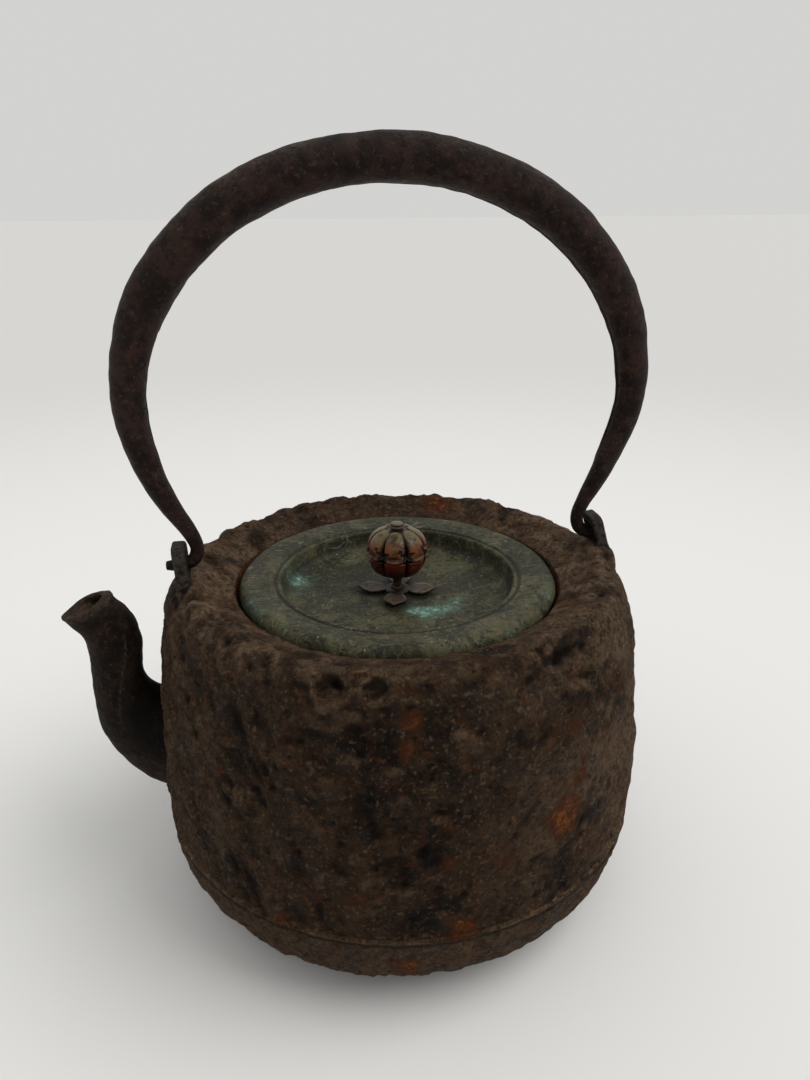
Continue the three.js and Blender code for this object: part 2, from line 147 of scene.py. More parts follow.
def wobble(points, size, seeds):
    """Noise in all three directions, one seed each."""
    return np.stack([noise(points, size, seed) for seed in seeds], 1)


def pits(points, size, share, radius, seed):
    """Round hollows, 0 to 1 deep, in a share of the cells. radius is in cell sizes."""
    reach, chance = cells(points, size, seed)
    width = radius * (0.6 + 0.8 * chance / share)
    return np.where(chance < share, step(reach, width, width * 0.25), 0)


# ---- meshes ----

def skin(name, rings, ends=(None, None), wrap=False):
    """A mesh over rings of points (rows, around, xyz). ends closes the first and the last row on
    a point each; wrap joins the last row to the first."""
    rows, around = rings.shape[:2]
    vertices = rings.reshape(-1, 3)
    row = np.arange(rows if wrap else rows - 1)[:, None]
    side = np.arange(around)[None, :]
    a, b = row * around + side, row * around + (side + 1) % around
    lift = ((row + 1) % rows - row) * around
    faces = np.stack([a, b, b + lift, a + lift], -1).reshape(-1, 4).tolist()
    for end, centre in enumerate(ends):
        if centre is not None:
            hub = len(vertices)
            vertices = np.vstack([vertices, centre])
            first = 0 if end == 0 else (rows - 1) * around
            for n in range(around):
                pair = [first + n, first + (n + 1) % around]
                faces.append([hub] + (pair[::-1] if end == 0 else pair))
    mesh = bpy.data.meshes.new(name)
    mesh.from_pydata((vertices * MM).tolist(), [], faces)
    return finished(name, mesh)


def linked(name, data):
    thing = bpy.data.objects.new(name, data)
    bpy.context.collection.objects.link(thing)
    return thing


def finished(name, mesh):
    """An object of the mesh, with faces out and smooth."""
    shape = bmesh.new()
    shape.from_mesh(mesh)
    bmesh.ops.recalc_face_normals(shape, faces=shape.faces)
    shape.to_mesh(mesh)
    shape.free()
    mesh.shade_smooth()
    return linked(name, mesh)


def spun(profile, around, turn=0.0):
    """Rings of a profile of (radius, height) turned about Z, and each ring's normals."""
    profile = np.asarray(profile, float)
    angle = turn + np.linspace(0, 2 * np.pi, around, endpoint=False)
    radial = np.stack([np.cos(angle), np.sin(angle), np.zeros(around)], 1)
    rings = profile[:, None, :1] * radial[None] + profile[:, None, 1:] * np.array([0, 0, 1.0])
    way = unit(np.gradient(profile, axis=0))
    normals = way[:, None, 1:] * radial[None] - way[:, None, :1] * np.array([0, 0, 1.0])
    return rings, normals, angle


def bridge(shape, low, high):
    """Faces between two closed rings of bmesh points."""
    for n in range(len(low)):
        after = (n + 1) % len(low)
        shape.faces.new([low[n], low[after], high[after], high[n]])


def from_shape(name, shape):
    """An object of a bmesh, which is used up."""
    mesh = bpy.data.meshes.new(name)
    shape.to_mesh(mesh)
    shape.free()
    return finished(name, mesh)


def read(piece, what):
    vertices = piece.data.vertices
    flat = np.empty(len(vertices) * 3)
    vertices.foreach_get(what, flat)
    return flat.reshape(-1, 3)


def points_of(piece):
    return read(piece, "co") / MM


def normals_of(piece):
    return read(piece, "normal")


def unit(ways):
    return ways / np.maximum(np.linalg.norm(ways, axis=1), 1e-9)[:, None]


def paint(piece, **shares):
    """Keeps shares from 0 to 1 on the mesh's points, for its material to read. A skin's end points
    come last and keep 0."""
    for name, share in shares.items():
        layer = piece.data.attributes.new(name, "FLOAT", "POINT")
        values = np.zeros(len(layer.data), np.float32)
        values[:len(share)] = np.clip(share, 0, 1)
        layer.data.foreach_set("value", values)


def apply_modifiers(piece):
    graph = bpy.context.evaluated_depsgraph_get()
    mesh = bpy.data.meshes.new_from_object(piece.evaluated_get(graph))
    piece.modifiers.clear()
    piece.data = mesh
    mesh.shade_smooth()


def cut(piece, tool, solver):
    """Takes the tool's shape out of the piece, and removes the tool."""
    modifier = piece.modifiers.new("cut", "BOOLEAN")
    modifier.operation, modifier.object, modifier.solver = "DIFFERENCE", tool, solver
    apply_modifiers(piece)
    bpy.data.objects.remove(tool)


# ---- material graphs ----

class Graph:
    """A material's nodes, with short calls for the ones used here. Sizes are in millimetres."""

    def __init__(self, name, **sockets):
        self.material = bpy.data.materials.new(name)
        self.material.use_nodes = True
        self.tree = self.material.node_tree
        self.shader = self.tree.nodes["Principled BSDF"]
        for socket, value in sockets.items():
            self.put(self.shader.inputs[socket.replace("_", " ")], value)
        self.place = self.add("ShaderNodeTexCoord").outputs["Object"]
        self.colour = self.normal = None

    def put(self, socket, value):
        if isinstance(value, bpy.types.NodeSocket):
            self.tree.links.new(value, socket)
        elif isinstance(value, tuple) and len(value) == 3 and socket.type == "RGBA":
            socket.default_value = (*value, 1)
        else:
            socket.default_value = value

    def add(self, kind, inputs=(), **settings):
        node = self.tree.nodes.new(kind)
        for key, value in settings.items():
            setattr(node, key, value)
        for key, value in dict(inputs).items():
            self.put(node.inputs[key], value)
        return node

    def turned(self, angle, x, y, z):
        """The place turned about Z, then scaled along each axis."""
        settings = {"Vector": self.place, "Rotation": (0, 0, angle), "Scale": (x, y, z)}
        return self.add("ShaderNodeMapping", settings).outputs["Vector"]

    def noise(self, size, detail, rough=0.55, twist=0.0, at=None):
        settings = {"Vector": at or self.place, "Scale": 1 / (size * MM), "Detail": detail,
                    "Roughness": rough, "Distortion": twist}
        return self.add("ShaderNodeTexNoise", settings).outputs["Fac"]

    def cells(self, size):
        settings = {"Vector": self.place, "Scale": 1 / (size * MM)}
        return self.add("ShaderNodeTexVoronoi", settings).outputs["Distance"]

    def band(self, value, low, high, to=(0.0, 1.0)):
        """Runs smoothly from to's first number at low to its second at high."""
        settings = {"Value": value, "From Min": low, "From Max": high,
                    "To Min": to[0], "To Max": to[1]}
        node = self.add("ShaderNodeMapRange", settings, interpolation_type="SMOOTHSTEP")
        return node.outputs["Result"]

    def math(self, operation, a, b=0.0):
        return self.add("ShaderNodeMath", {0: a, 1: b}, operation=operation).outputs[0]

    def times(self, a, b):
        return self.math("MULTIPLY", a, b)

    def mix(self, share, a, b, blend="MIX"):
        node = self.add("ShaderNodeMix", {0: share, 6: a, 7: b}, data_type="RGBA", blend_type=blend)
        return node.outputs[2]

    def over(self, colour, value, low, high, most=1.0):
        """Mixes in colour, up to most, as value runs from low to high."""
        self.colour = self.mix(self.band(value, low, high, (0, most)), self.colour, colour)

    def share(self, name):
        return self.add("ShaderNodeAttribute", attribute_name=name).outputs["Fac"]

    def tint(self, colour, name, most):
        """Mixes in colour, up to most, by a painted share."""
        self.colour = self.mix(self.times(self.share(name), most), self.colour, colour)

    def frayed(self, name, value, amount):
        """A painted share with value, times amount, added to break up its edge."""
        return self.math("ADD", self.share(name), self.times(value, amount))

    def bump(self, height, depth):
        """Raises the surface by height (0 to 1) times depth."""
        settings = {"Height": height, "Distance": depth * MM, "Strength": 1.0}
        if self.normal is not None:
            settings["Normal"] = self.normal
        self.normal = self.add("ShaderNodeBump", settings).outputs["Normal"]

    def done(self, roughness):
        self.put(self.shader.inputs["Base Color"], self.colour)
        self.put(self.shader.inputs["Roughness"], roughness)
        if self.normal is not None:
            self.put(self.shader.inputs["Normal"], self.normal)
        return self.material


def pot_iron():
    g = Graph("pot_iron", Specular_IOR_Level=0.14)
    broad = g.noise(17, 8, 0.72, 0.3)
    grit = g.noise(2.2, 6, 0.78)
    g.colour = g.mix(g.band(broad, 0.44, 0.56), (0.015, 0.009, 0.005), (0.056, 0.034, 0.018))
    g.over((0.015, 0.016, 0.018), g.noise(10, 8, 0.74, 0.5), 0.51, 0.6, 0.92)
    g.over((0.078, 0.03, 0.011), g.noise(7, 8, 0.74, 0.4), 0.51, 0.61, 0.8)
    g.over((0.1, 0.07, 0.04), g.noise(5, 8, 0.76), 0.55, 0.66, 0.45)
    g.over((0.005, 0.003, 0.002), grit, 0.48, 0.4, 0.92)
    grain = g.noise(1.3, 2, 0.6)
    g.over((0.09, 0.06, 0.034), g.noise(6, 8, 0.76), 0.47, 0.57, 0.35)
    g.over((0.17, 0.125, 0.082), grain, 0.58, 0.67, 0.6)
    g.over((0.004, 0.003, 0.002), g.noise(2.9, 3, 0.6), 0.38, 0.3, 0.9)
    # dust, with painted light on the right side, the bowl and the relief's upward slopes
    dust = g.band(g.noise(2.0, 7, 0.86), 0.36, 0.62)
    g.tint((0.235, 0.172, 0.112), "dust", dust)
    # painted highlight on the raised relief
    high = g.band(g.noise(3, 7, 0.8), 0.4, 0.58, (0.2, 0.85))
    g.tint((0.135, 0.098, 0.064), "raised", high)
    # painted shade, darkest in the hollows and under the ledge
    g.tint((0.006, 0.004, 0.003), "hollow", 0.94)
    halo = g.frayed("rust", g.noise(5, 8, 0.75), 1.2)
    g.over((0.08, 0.031, 0.012), halo, 0.76, 1.1, 0.8)
    bloom = g.frayed("rust", g.noise(3.4, 9, 0.8), 1.7)
    fresh = g.band(g.noise(2.4, 6, 0.78), 0.45, 0.64)
    rust = g.mix(fresh, (0.09, 0.032, 0.011), (0.27, 0.102, 0.03))
    g.over(rust, bloom, 1.22, 1.54, 0.95)
    # a little more contrast, at the same lightness
    g.colour = g.add("ShaderNodeGamma", {"Color": g.colour, "Gamma": 1.12}).outputs["Color"]
    g.colour = g.mix(1.0, g.colour, (3.25, 3.02, 2.94), "MULTIPLY")
    g.bump(g.noise(4.4, 7, 0.72), 2.8)
    g.bump(grit, 2.0)
    g.bump(grain, 0.6)
    return g.done(g.band(grit, 0.3, 0.7, (0.44, 0.78)))


def smooth_iron(name, dark, light, warm, shine, specular):
    """Iron with a finer skin than the pot's: spout, lugs and bail."""
    g = Graph(name, Specular_IOR_Level=specular)
    patch = g.noise(8, 7, 0.64, 0.4)
    g.colour = g.mix(g.band(patch, 0.42, 0.6), dark, light)
    g.over(warm, g.noise(5, 6, 0.66, 0.4), 0.54, 0.66, 0.7)
    g.over((0.078, 0.056, 0.041), g.noise(1.6, 5, 0.74), 0.55, 0.66, 0.55)
    g.over((0.005, 0.004, 0.003), g.noise(1.9, 5, 0.72), 0.47, 0.37, 0.7)
    ground = g.frayed("rust", g.noise(1.6, 6, 0.75), 1.1)
    g.over((0.105, 0.058, 0.03), ground, 0.85, 1.2, 0.85)
    # wear, with painted sheen on the bail's top and painted highlight on the spout, in a lighter
    # colour
    worn = g.band(g.noise(1.5, 6, 0.7), 0.36, 0.6)
    g.tint((0.105, 0.084, 0.066), "worn", worn)
    # painted shade, with some soot, on the spout
    g.tint((0.004, 0.003, 0.003), "hollow", 0.9)
    g.bump(g.noise(2.8, 7, 0.72), 0.9)
    g.bump(g.noise(1.3, 4, 0.74), 0.6)
    return g.done(g.band(patch, 0.3, 0.7, (shine, shine + 0.18)))


def lid_bronze():
    g = Graph("lid_bronze", Specular_IOR_Level=0.17)
    broad = g.noise(14, 8, 0.7, 0.6)
    g.colour = g.mix(g.band(broad, 0.44, 0.57), (0.028, 0.027, 0.013), (0.084, 0.08, 0.04))
    g.over((0.02, 0.02, 0.013), g.noise(9, 8, 0.74, 0.6), 0.52, 0.62, 0.85)
    g.over((0.098, 0.074, 0.038), g.noise(7, 8, 0.72, 0.3), 0.54, 0.64, 0.7)
    g.over((0.175, 0.17, 0.11), g.noise(1.3, 4, 0.76), 0.54, 0.63, 0.55)
    g.over((0.009, 0.009, 0.006), g.noise(1.5, 5, 0.78), 0.47, 0.39, 0.8)
    g.over((0.3, 0.31, 0.25), g.cells(4.3), 0.1, 0.05, 0.75)
    streaks = g.noise(3.4, 9, 0.82, 1.6, at=g.turned(-0.5, 0.7, 1.3, 1.0))
    ground = g.frayed("verdigris", streaks, 2.0)
    bright = g.band(g.noise(2.4, 8, 0.78), 0.44, 0.66)
    green = g.mix(bright, (0.072, 0.15, 0.118), (0.36, 0.6, 0.52))
    g.over((0.056, 0.088, 0.06), ground, 1.16, 1.46, 0.4)
    g.over(green, ground, 1.46, 1.84, 0.9)
    g.over((0.17, 0.25, 0.2), g.noise(1.6, 4, 0.7), 0.67, 0.74, 0.5)
    # fine scratches, where a noise passes through its middle
    for angle, size, wide in ((0.5, 15, 0.0035), (2.2, 21, 0.0025), (1.3, 11, 0.003)):
        drawn = g.noise(size, 1.0, 0.4, at=g.turned(angle, 0.5, 1.7, 1.0))
        line = g.band(g.math("ABSOLUTE", g.math("SUBTRACT", drawn, 0.5)), wide, 0.0, (0, 0.5))
        line = g.times(line, g.band(g.noise(8, 3), 0.5, 0.56))
        g.colour = g.mix(line, g.colour, (0.27, 0.26, 0.21))
    g.over((0.42, 0.41, 0.36), g.cells(7.5), 0.045, 0.02, 0.7)
    # painted shade in the groove, the corner, under the rim and round the leaves, with the dark
    # stains
    g.tint((0.009, 0.009, 0.007), "hollow", 0.92)
    g.bump(g.noise(4.5, 6, 0.66), 0.35)
    g.bump(g.noise(1.2, 4, 0.74), 0.22)
    return g.done(g.band(broad, 0.3, 0.7, (0.4, 0.62)))


def knob_metal(name, top, middle, low, shine):
    """Patinated copper alloy. The share 'crown' runs from 0 at the joint to 1 at the top."""
    g = Graph(name, Specular_IOR_Level=0.32)
    patch = g.noise(4.2, 6, 0.64, 0.5)
    place = g.frayed("crown", g.math("SUBTRACT", patch, 0.5), 0.9)
    g.colour = g.mix(g.band(place, 0.05, 0.42), low, middle)
    g.over(top, place, 0.42, 0.85)
    g.over((0.012, 0.006, 0.004), g.noise(3.4, 7, 0.78, 0.4), 0.48, 0.62, 0.9)
    g.over((0.21, 0.14, 0.065), g.noise(1.5, 5, 0.74), 0.56, 0.66, 0.35)
    # wear and painted highlight, in a lighter colour
    g.tint((0.4, 0.27, 0.16), "worn", g.band(g.noise(1.4, 4), 0.3, 0.55))
    # painted shade in the grooves, recesses and under the lip
    g.tint((0.007, 0.005, 0.004), "hollow", 0.96)
    g.bump(g.noise(1.4, 5, 0.66), 0.14)
    return g.done(g.band(patch, 0.3, 0.7, (shine, shine + 0.2)))


# Dark, light and warm colours, shine and specular level
IRONS = {
    "spout_iron": ((0.008, 0.005, 0.003), (0.024, 0.015, 0.01), (0.036, 0.017, 0.01), 0.56, 0.08),
    "lug_iron": ((0.009, 0.008, 0.007), (0.024, 0.02, 0.017), (0.03, 0.02, 0.014), 0.56, 0.12),
    "handle_iron": ((0.012, 0.006, 0.005), (0.034, 0.018, 0.014), (0.044, 0.019, 0.013), 0.42, 0.11),
}
# Top, middle and low colours, and shine
KNOB_METALS = {
    "seat_bronze": ((0.066, 0.046, 0.028), (0.042, 0.029, 0.018), (0.016, 0.012, 0.009), 0.4),
    "rivet_copper": ((0.105, 0.084, 0.046), (0.056, 0.022, 0.012), (0.042, 0.015, 0.009), 0.34),
    "knob_copper": ((0.135, 0.1, 0.036), (0.165, 0.045, 0.01), (0.04, 0.008, 0.002), 0.2),
    "knob_red_copper": ((0.095, 0.006, 0.001), (0.04, 0.003, 0.001), (0.012, 0.002, 0.001), 0.2),
}
MATERIALS = {"pot_iron": pot_iron(), "lid_bronze": lid_bronze()}
MATERIALS.update({slot: smooth_iron(slot, *look) for slot, look in IRONS.items()})
MATERIALS.update({slot: knob_metal(slot, *look) for slot, look in KNOB_METALS.items()})


def belongs(piece, body, slot, node):
    """Gives a piece its body and its slot's material, and hides the CAD node that it stands for."""
    piece.data.materials.clear()
    piece.data.materials.append(MATERIALS[slot])
    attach(piece, body)
    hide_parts(node)


# ---- pot ----

# Each handle lug's x on the hinge axis, and its lean to -X per millimetre of height
LUGS = {"lug_near_spout": (-69.4, 0.05), "lug_opposite": (69.9, 0.3)}

LOWER_BOWL = [(48, 0), (62, 4.4), (73.6, 11.2), (79.6, 21), SEAM]
WALL = [(81.3, 34.6), (81.7, 51), (80.6, 70.2), (78.3, 90.6), (74.1, 107.5), (68.1, 113.3),
        (61, 111.6), (54, 108.6)]
MOUTH = [(MOUTH_RADIUS, 107.6), (MOUTH_RADIUS, 105.8), (MOUTH_RADIUS, SEAT_HEIGHT),
         (51, SEAT_HEIGHT), (48.5, SEAT_HEIGHT), (BORE_RADIUS, SEAT_HEIGHT), (BORE_RADIUS, 102.2)]
CAVITY = [(BORE_RADIUS, 100.3), (55, 100.6), (60, 104.6), (65.5, 107), (70.4, 102), (74.8, 89),
          (77.1, 70), (78.2, 51), (78.2, 33.2), (76.2, 22.5), (71.2, 14.2), (61, 8), (48, 4),
          (20, 3.5), (4, 3.5)]

# Hollows in the shoulder and wall: azimuth, radius, height, width, depth
DENTS = [
    (-114, 72.9, 109.7, 3.6, 2.4), (-105, 72.5, 110.2, 2.8, 1.6), (-58, 73.4, 108.6, 6.5, 1.9),
    (-50, 73, 109.5, 5, 1.8), (-64, 70.5, 112.2, 4, 1.2), (-93, 80.1, 75.8, 1.6, 1.3),
    (-136, 79.8, 79.5, 6, 1.7), (-109, 77, 97.3, 4, 1.3), (-101, 81.5, 57.3, 6, 1.2),
    (-148, 77.5, 95.1, 7, 1.3), (-120, 74.3, 106.5, 4.5, 1.3), (-72, 81.7, 50.3, 5, 0.9),
    (-49, 77.6, 94.5, 7, 1), (-86, 76, 101, 5, 0.9), (150, 74, 108, 6, 2), (96, 73, 109.5, 5, 2),
    (40, 74, 108, 6.5, 2.2), (15, 79, 86, 7, 1.4), (75, 80, 74, 6, 1.5), (120, 79.5, 82, 7, 1.5),
    (160, 80.5, 72, 5, 1.2),
]
# Rust blooms: azimuth, radius, height, width, strength
RUST = [
    (-98, 75.7, 103, 3.2, 0.8), (-99, 77.4, 95.6, 3.4, 0.65), (-65, 81.2, 64, 7, 0.9),
    (-61, 80.4, 74.5, 5, 0.5), (-92, 81.4, 59.5, 4, 0.45), (-88, 81.4, 38, 5, 0.7),
    (-109, 81.7, 49.8, 4, 0.45), (-125, 81.3, 36.5, 3, 0.6), (-99, 80.1, 22.6, 5, 0.8),
    (64, 63, 112.4, 8, 0.65), (-90, 80.5, 71, 3.5, 0.35), (-59, 79.9, 79, 3, 0.4),
    (-38, 81.7, 44.8, 8, 0.4), (-62, 78.1, 91.8, 4.2, 0.5), (-133, 79.3, 86, 4, 0.25),
    (-54, 81.7, 45.4, 5, 0.4), (-80, 81.4, 57, 5, 0.35), (-150, 80, 60, 4, 0.25),
    (30, 80, 70, 7, 0.6), (70, 81, 52, 6, 0.7), (110, 79, 88, 5, 0.6), (140, 81, 45, 7, 0.55),
    (10, 81, 40, 6, 0.5), (95, 80, 28, 7, 0.6),
]
AROUND = 440
BOWL_STEPS, WALL_STEPS, CAVITY_STEPS = 38, 138, 24


def placed(azimuth, radius, height):
    angle = math.radians(azimuth)
    return np.array([radius * math.cos(angle), radius * math.sin(angle), height])


def spread(points, spots):
    """Falls from each spot's strength at its place to nothing a few widths away."""
    total = np.zeros(len(points))
    for azimuth, radius, height, width, strength in spots:
        reach = np.linalg.norm(points - placed(azimuth, radius, height), axis=1) / width
        total = np.maximum(total, strength * np.exp(-reach**2))
    return total


def dented(points):
    """How far the pot's hollows and the rims round them move its skin."""
    total = np.zeros(len(points))
    for azimuth, radius, height, width, depth in DENTS:
        bent = points + 0.35 * width * wobble(points, width, (51, 52, 53))
        reach = np.linalg.norm(bent - placed(azimuth, radius, height), axis=1) / width
        total += depth * (0.3 * bell(reach, 1.45, 0.4) - np.exp(-reach**4 * 0.8))
    return total


def toward(azimuth, degrees, low, high):
    """1 on the side of the pot that faces degrees; low and high are cosines away from it."""
    return step(np.cos(azimuth - math.radians(degrees)), low, high)


def leaning(points, azimuth):
    """Points sheared so that noise on them leans away from the front as it rises."""
    lean = 0.95 * np.sin(azimuth - FRONT)
    turned = azimuth - lean * (points[:, 2] - 60) / 80
    radius = np.hypot(points[:, 0], points[:, 1])
    return np.stack([radius * np.cos(turned), radius * np.sin(turned), points[:, 2] / 2.3], 1)


def make_pot():
    flat = [(r, 0) for r in (14, 28, 40, 45)]
    ledge = [(82.1, 33.6), (81.95, 33.85), (81.2, 33.95)]
    profile = np.vstack([flat, smooth(LOWER_BOWL, BOWL_STEPS), ledge, smooth(WALL, WALL_STEPS),
                         MOUTH, smooth(CAVITY, CAVITY_STEPS)])
    first_above_seam = len(flat) + BOWL_STEPS + 1
    first_inside = first_above_seam + len(ledge) + WALL_STEPS + 1
    rings, normals, angle = spun(profile, AROUND)
    points = rings.reshape(-1, 3)
    normal = normals.reshape(-1, 3)
    azimuth = np.tile(angle, len(profile))
    row = np.repeat(np.arange(len(profile)), AROUND)
    radius = np.repeat(profile[:, 0], AROUND)
    height = points[:, 2]
    on_outside = row < first_inside
    above_seam = on_outside & (row >= first_above_seam)

    rough = np.where(above_seam, 1.0, 0.7) * step(height, 0.2, 8)
    crest = step(height, 99, 110) * step(radius, 58, 65)
    top = above_seam & (height > 107) & (radius < 68)
    rough = np.where(top, rough * (0.35 + 0.55 * step(radius, MOUTH_RADIUS, 62)), rough)
    rough = rough * (1 - 0.85 * bell(height, SEAM[1], 1.3)) * on_outside

    lean = leaning(points, azimuth)
    broad = 0.75 * noise(points, 34, 1) + 0.45 * noise(points, 17, 2)
    reach, _ = cells(points + 3 * wobble(points, 9, (3, 4, 5)), 11, 6)
    chips = 0.95 * (reach**2 - 0.3) * step(noise(points, 30, 7), -0.35, 0.35)
    # the left side is beaten more
    beaten = 1 + 0.6 * toward(azimuth, -155, 0.5, 0.95)
    drift = beaten * (0.75 * noise(lean, 7.5, 8) - 0.8 * np.abs(noise(lean, 4.6, 9)) + 0.2)
    small = 0.36 * noise(points, 4.2, 10) + 0.5 * (0.3 - np.abs(noise(points, 3.4, 11)))
    grain = 0.24 * noise(points, 2.4, 23)
    holes = 0.9 * pits(points, 9, 0.3, 0.24, 12) + 0.6 * pits(points, 4.2, 0.25, 0.34, 13)
    lumps = crest * (0.5 * noise(points, 8, 14) + 0.3 * np.abs(noise(points, 5, 15)) - 0.2)
    fine = chips + drift + small + grain - holes + lumps
    height_field = rough * (broad + fine) + np.where(on_outside, dented(points), 0)
    roots = sum(np.exp(-(np.linalg.norm(points - (x, 0, 112.0), axis=1) / 8.5) ** 4)
                for x, _ in LUGS.values())
    calmed = height_field * (1 - 0.7 * roots) + 1.5 * roots * on_outside
    height_field = np.where(roots > 0.02, calmed, height_field)
    # the metal swells where the far lug is cast in
    swell = np.linalg.norm(points - (73.0, -2.5, 111.0), axis=1)
    height_field += 2.6 * bell(swell, 0, 7.0) * on_outside
    inner = ~on_outside & (height < 100) & (radius > 6)
    height_field += np.where(inner, 0.2 * noise(points, 9, 16), 0)
    points = points + normal * height_field[:, None]
    points[:, 2] = np.maximum(points[:, 2], 0)

    piece = skin("pot_casting", points.reshape(rings.shape), ends=((0, 0, 0), (0, 0, 3.5)))
    # how much more each place faces up than it would without its relief
    tilt = np.where(on_outside, normals_of(piece)[:-2, 2] - normal[:, 2], 0)
    relief = np.where(on_outside, rough * fine + 0.4 * dented(rings.reshape(-1, 3)), 0)
    upward = step(normal[:, 2], 0.15, 0.75) * on_outside
    sides = 0.35 + 0.65 * np.abs(np.cos(azimuth)) ** 0.7
    sides = sides * (1 - 0.55 * step(np.sin(azimuth), 0.2, 0.9))
    dust = upward * sides * step(noise(points, 7, 17) + 0.25, -0.3, 0.5)
    # a lighter line along the top of the seam's ledge
    on_ledge = bell(height, 33.6, 0.45) * on_outside * step(noise(points, 9, 24), -0.6, 0.1)
    # painted light: the bowl below the seam is lighter, as if lit from the floor
    below = 0.38 * step(height, 34, 32) * step(height, 6, 14) * on_outside
    drifts = step(noise(points, 26, 25) + 0.5 * noise(points, 11, 26), -0.75, 0.25)
    # painted light: the right side is lighter, in broad drifts
    right = 0.72 * toward(azimuth, -24, 0.35, 0.98) * drifts * above_seam
    # the left side above the seam is a little lighter
    left = 0.25 * toward(azimuth, -165, 0.5, 0.95) * above_seam
    # the last layer is a painted highlight on the relief's upward-facing slopes
    for layer in (0.9 * on_ledge, below, right, left, 0.7 * step(tilt, 0.1, 0.45)):
        dust = np.maximum(dust, layer)
    rust = spread(points + 1.6 * wobble(points, 4, (18, 19, 20)), RUST)
    rust = np.maximum(rust, 0.5 * pits(points, 8, 0.1, 0.3, 21))
    rust = np.where(on_outside, rust, step(noise(points, 14, 22), -0.3, 0.5) * 0.7)
    # painted shade: darker in the low places of the relief, and all over the inside
    hollow = np.where(on_outside, step(-relief, 0.2, 1.35), 0.35)
    # painted shade in a band under the seam's ledge and on the relief's downward-facing slopes
    under_ledge = bell(height, 32.4, 0.6) * on_outside
    hollow = np.maximum(hollow, np.maximum(0.9 * under_ledge, 0.8 * step(-tilt, 0.1, 0.45)))
    # painted highlight on the raised relief
    raised = step(relief, 0.3, 1.3) * on_outside
    paint(piece, hollow=hollow, raised=raised, dust=dust, rust=rust)
    return piece


# ---- spout ----

# Outer edge x and z, inner edge x and z, half width
SPOUT = [
    (-70, 38.6, -70, 71.6, 12.5), (-79.5, 36.8, -77.5, 73.6, 12.8),
    (-85.6, 39.8, -80.2, 74.4, 12.2), (-91.8, 45.2, -82.4, 75.9, 11),
    (-97.1, 52.2, -84, 77.9, 9.8), (-100.6, 60.8, -85.1, 80.4, 9), (-102, 70, -85.4, 84, 8.6),
    (-101.9, 79.2, -85.1, 88.6, 8.4), (-101.4, 88.2, -84.9, 93.6, 8.3),
    (-101.4, 95, -85.8, 100, 8.2), (-103.4, 99.8, -88.4, 105.8, 8.1),
    (-107.6, 103.8, -92.8, 110.2, 8),
]
SPOUT_AROUND = 96
SPOUT_STEPS = 150
SPOUT_WALL, SPOUT_ROOT_WALL = 2.3, 5.5
LIP_STEPS = 9
BORE_STATIONS = 62  # how far up the spout the plug that opens the pot's wall goes


def spout_rings(stations, around, inset):
    """Elliptical rings at stations (rows of SPOUT's columns), shrunk by inset (one per row)."""
    angle = np.linspace(0, 2 * np.pi, around, endpoint=False)
    low, high = stations[:, 0:2], stations[:, 2:4]
    centre, across = (low + high) / 2, (low - high) / 2
    reach = np.linalg.norm(across, axis=1)
    across = across * ((reach - inset) / reach)[:, None]
    half = stations[:, 4] - inset
    rings = np.zeros((len(stations), around, 3))
    rings[:, :, 0] = centre[:, :1] + across[:, :1] * np.cos(angle)
    rings[:, :, 2] = centre[:, 1:] + across[:, 1:] * np.cos(angle)
    rings[:, :, 1] = half[:, None] * np.sin(angle)
    return rings, angle


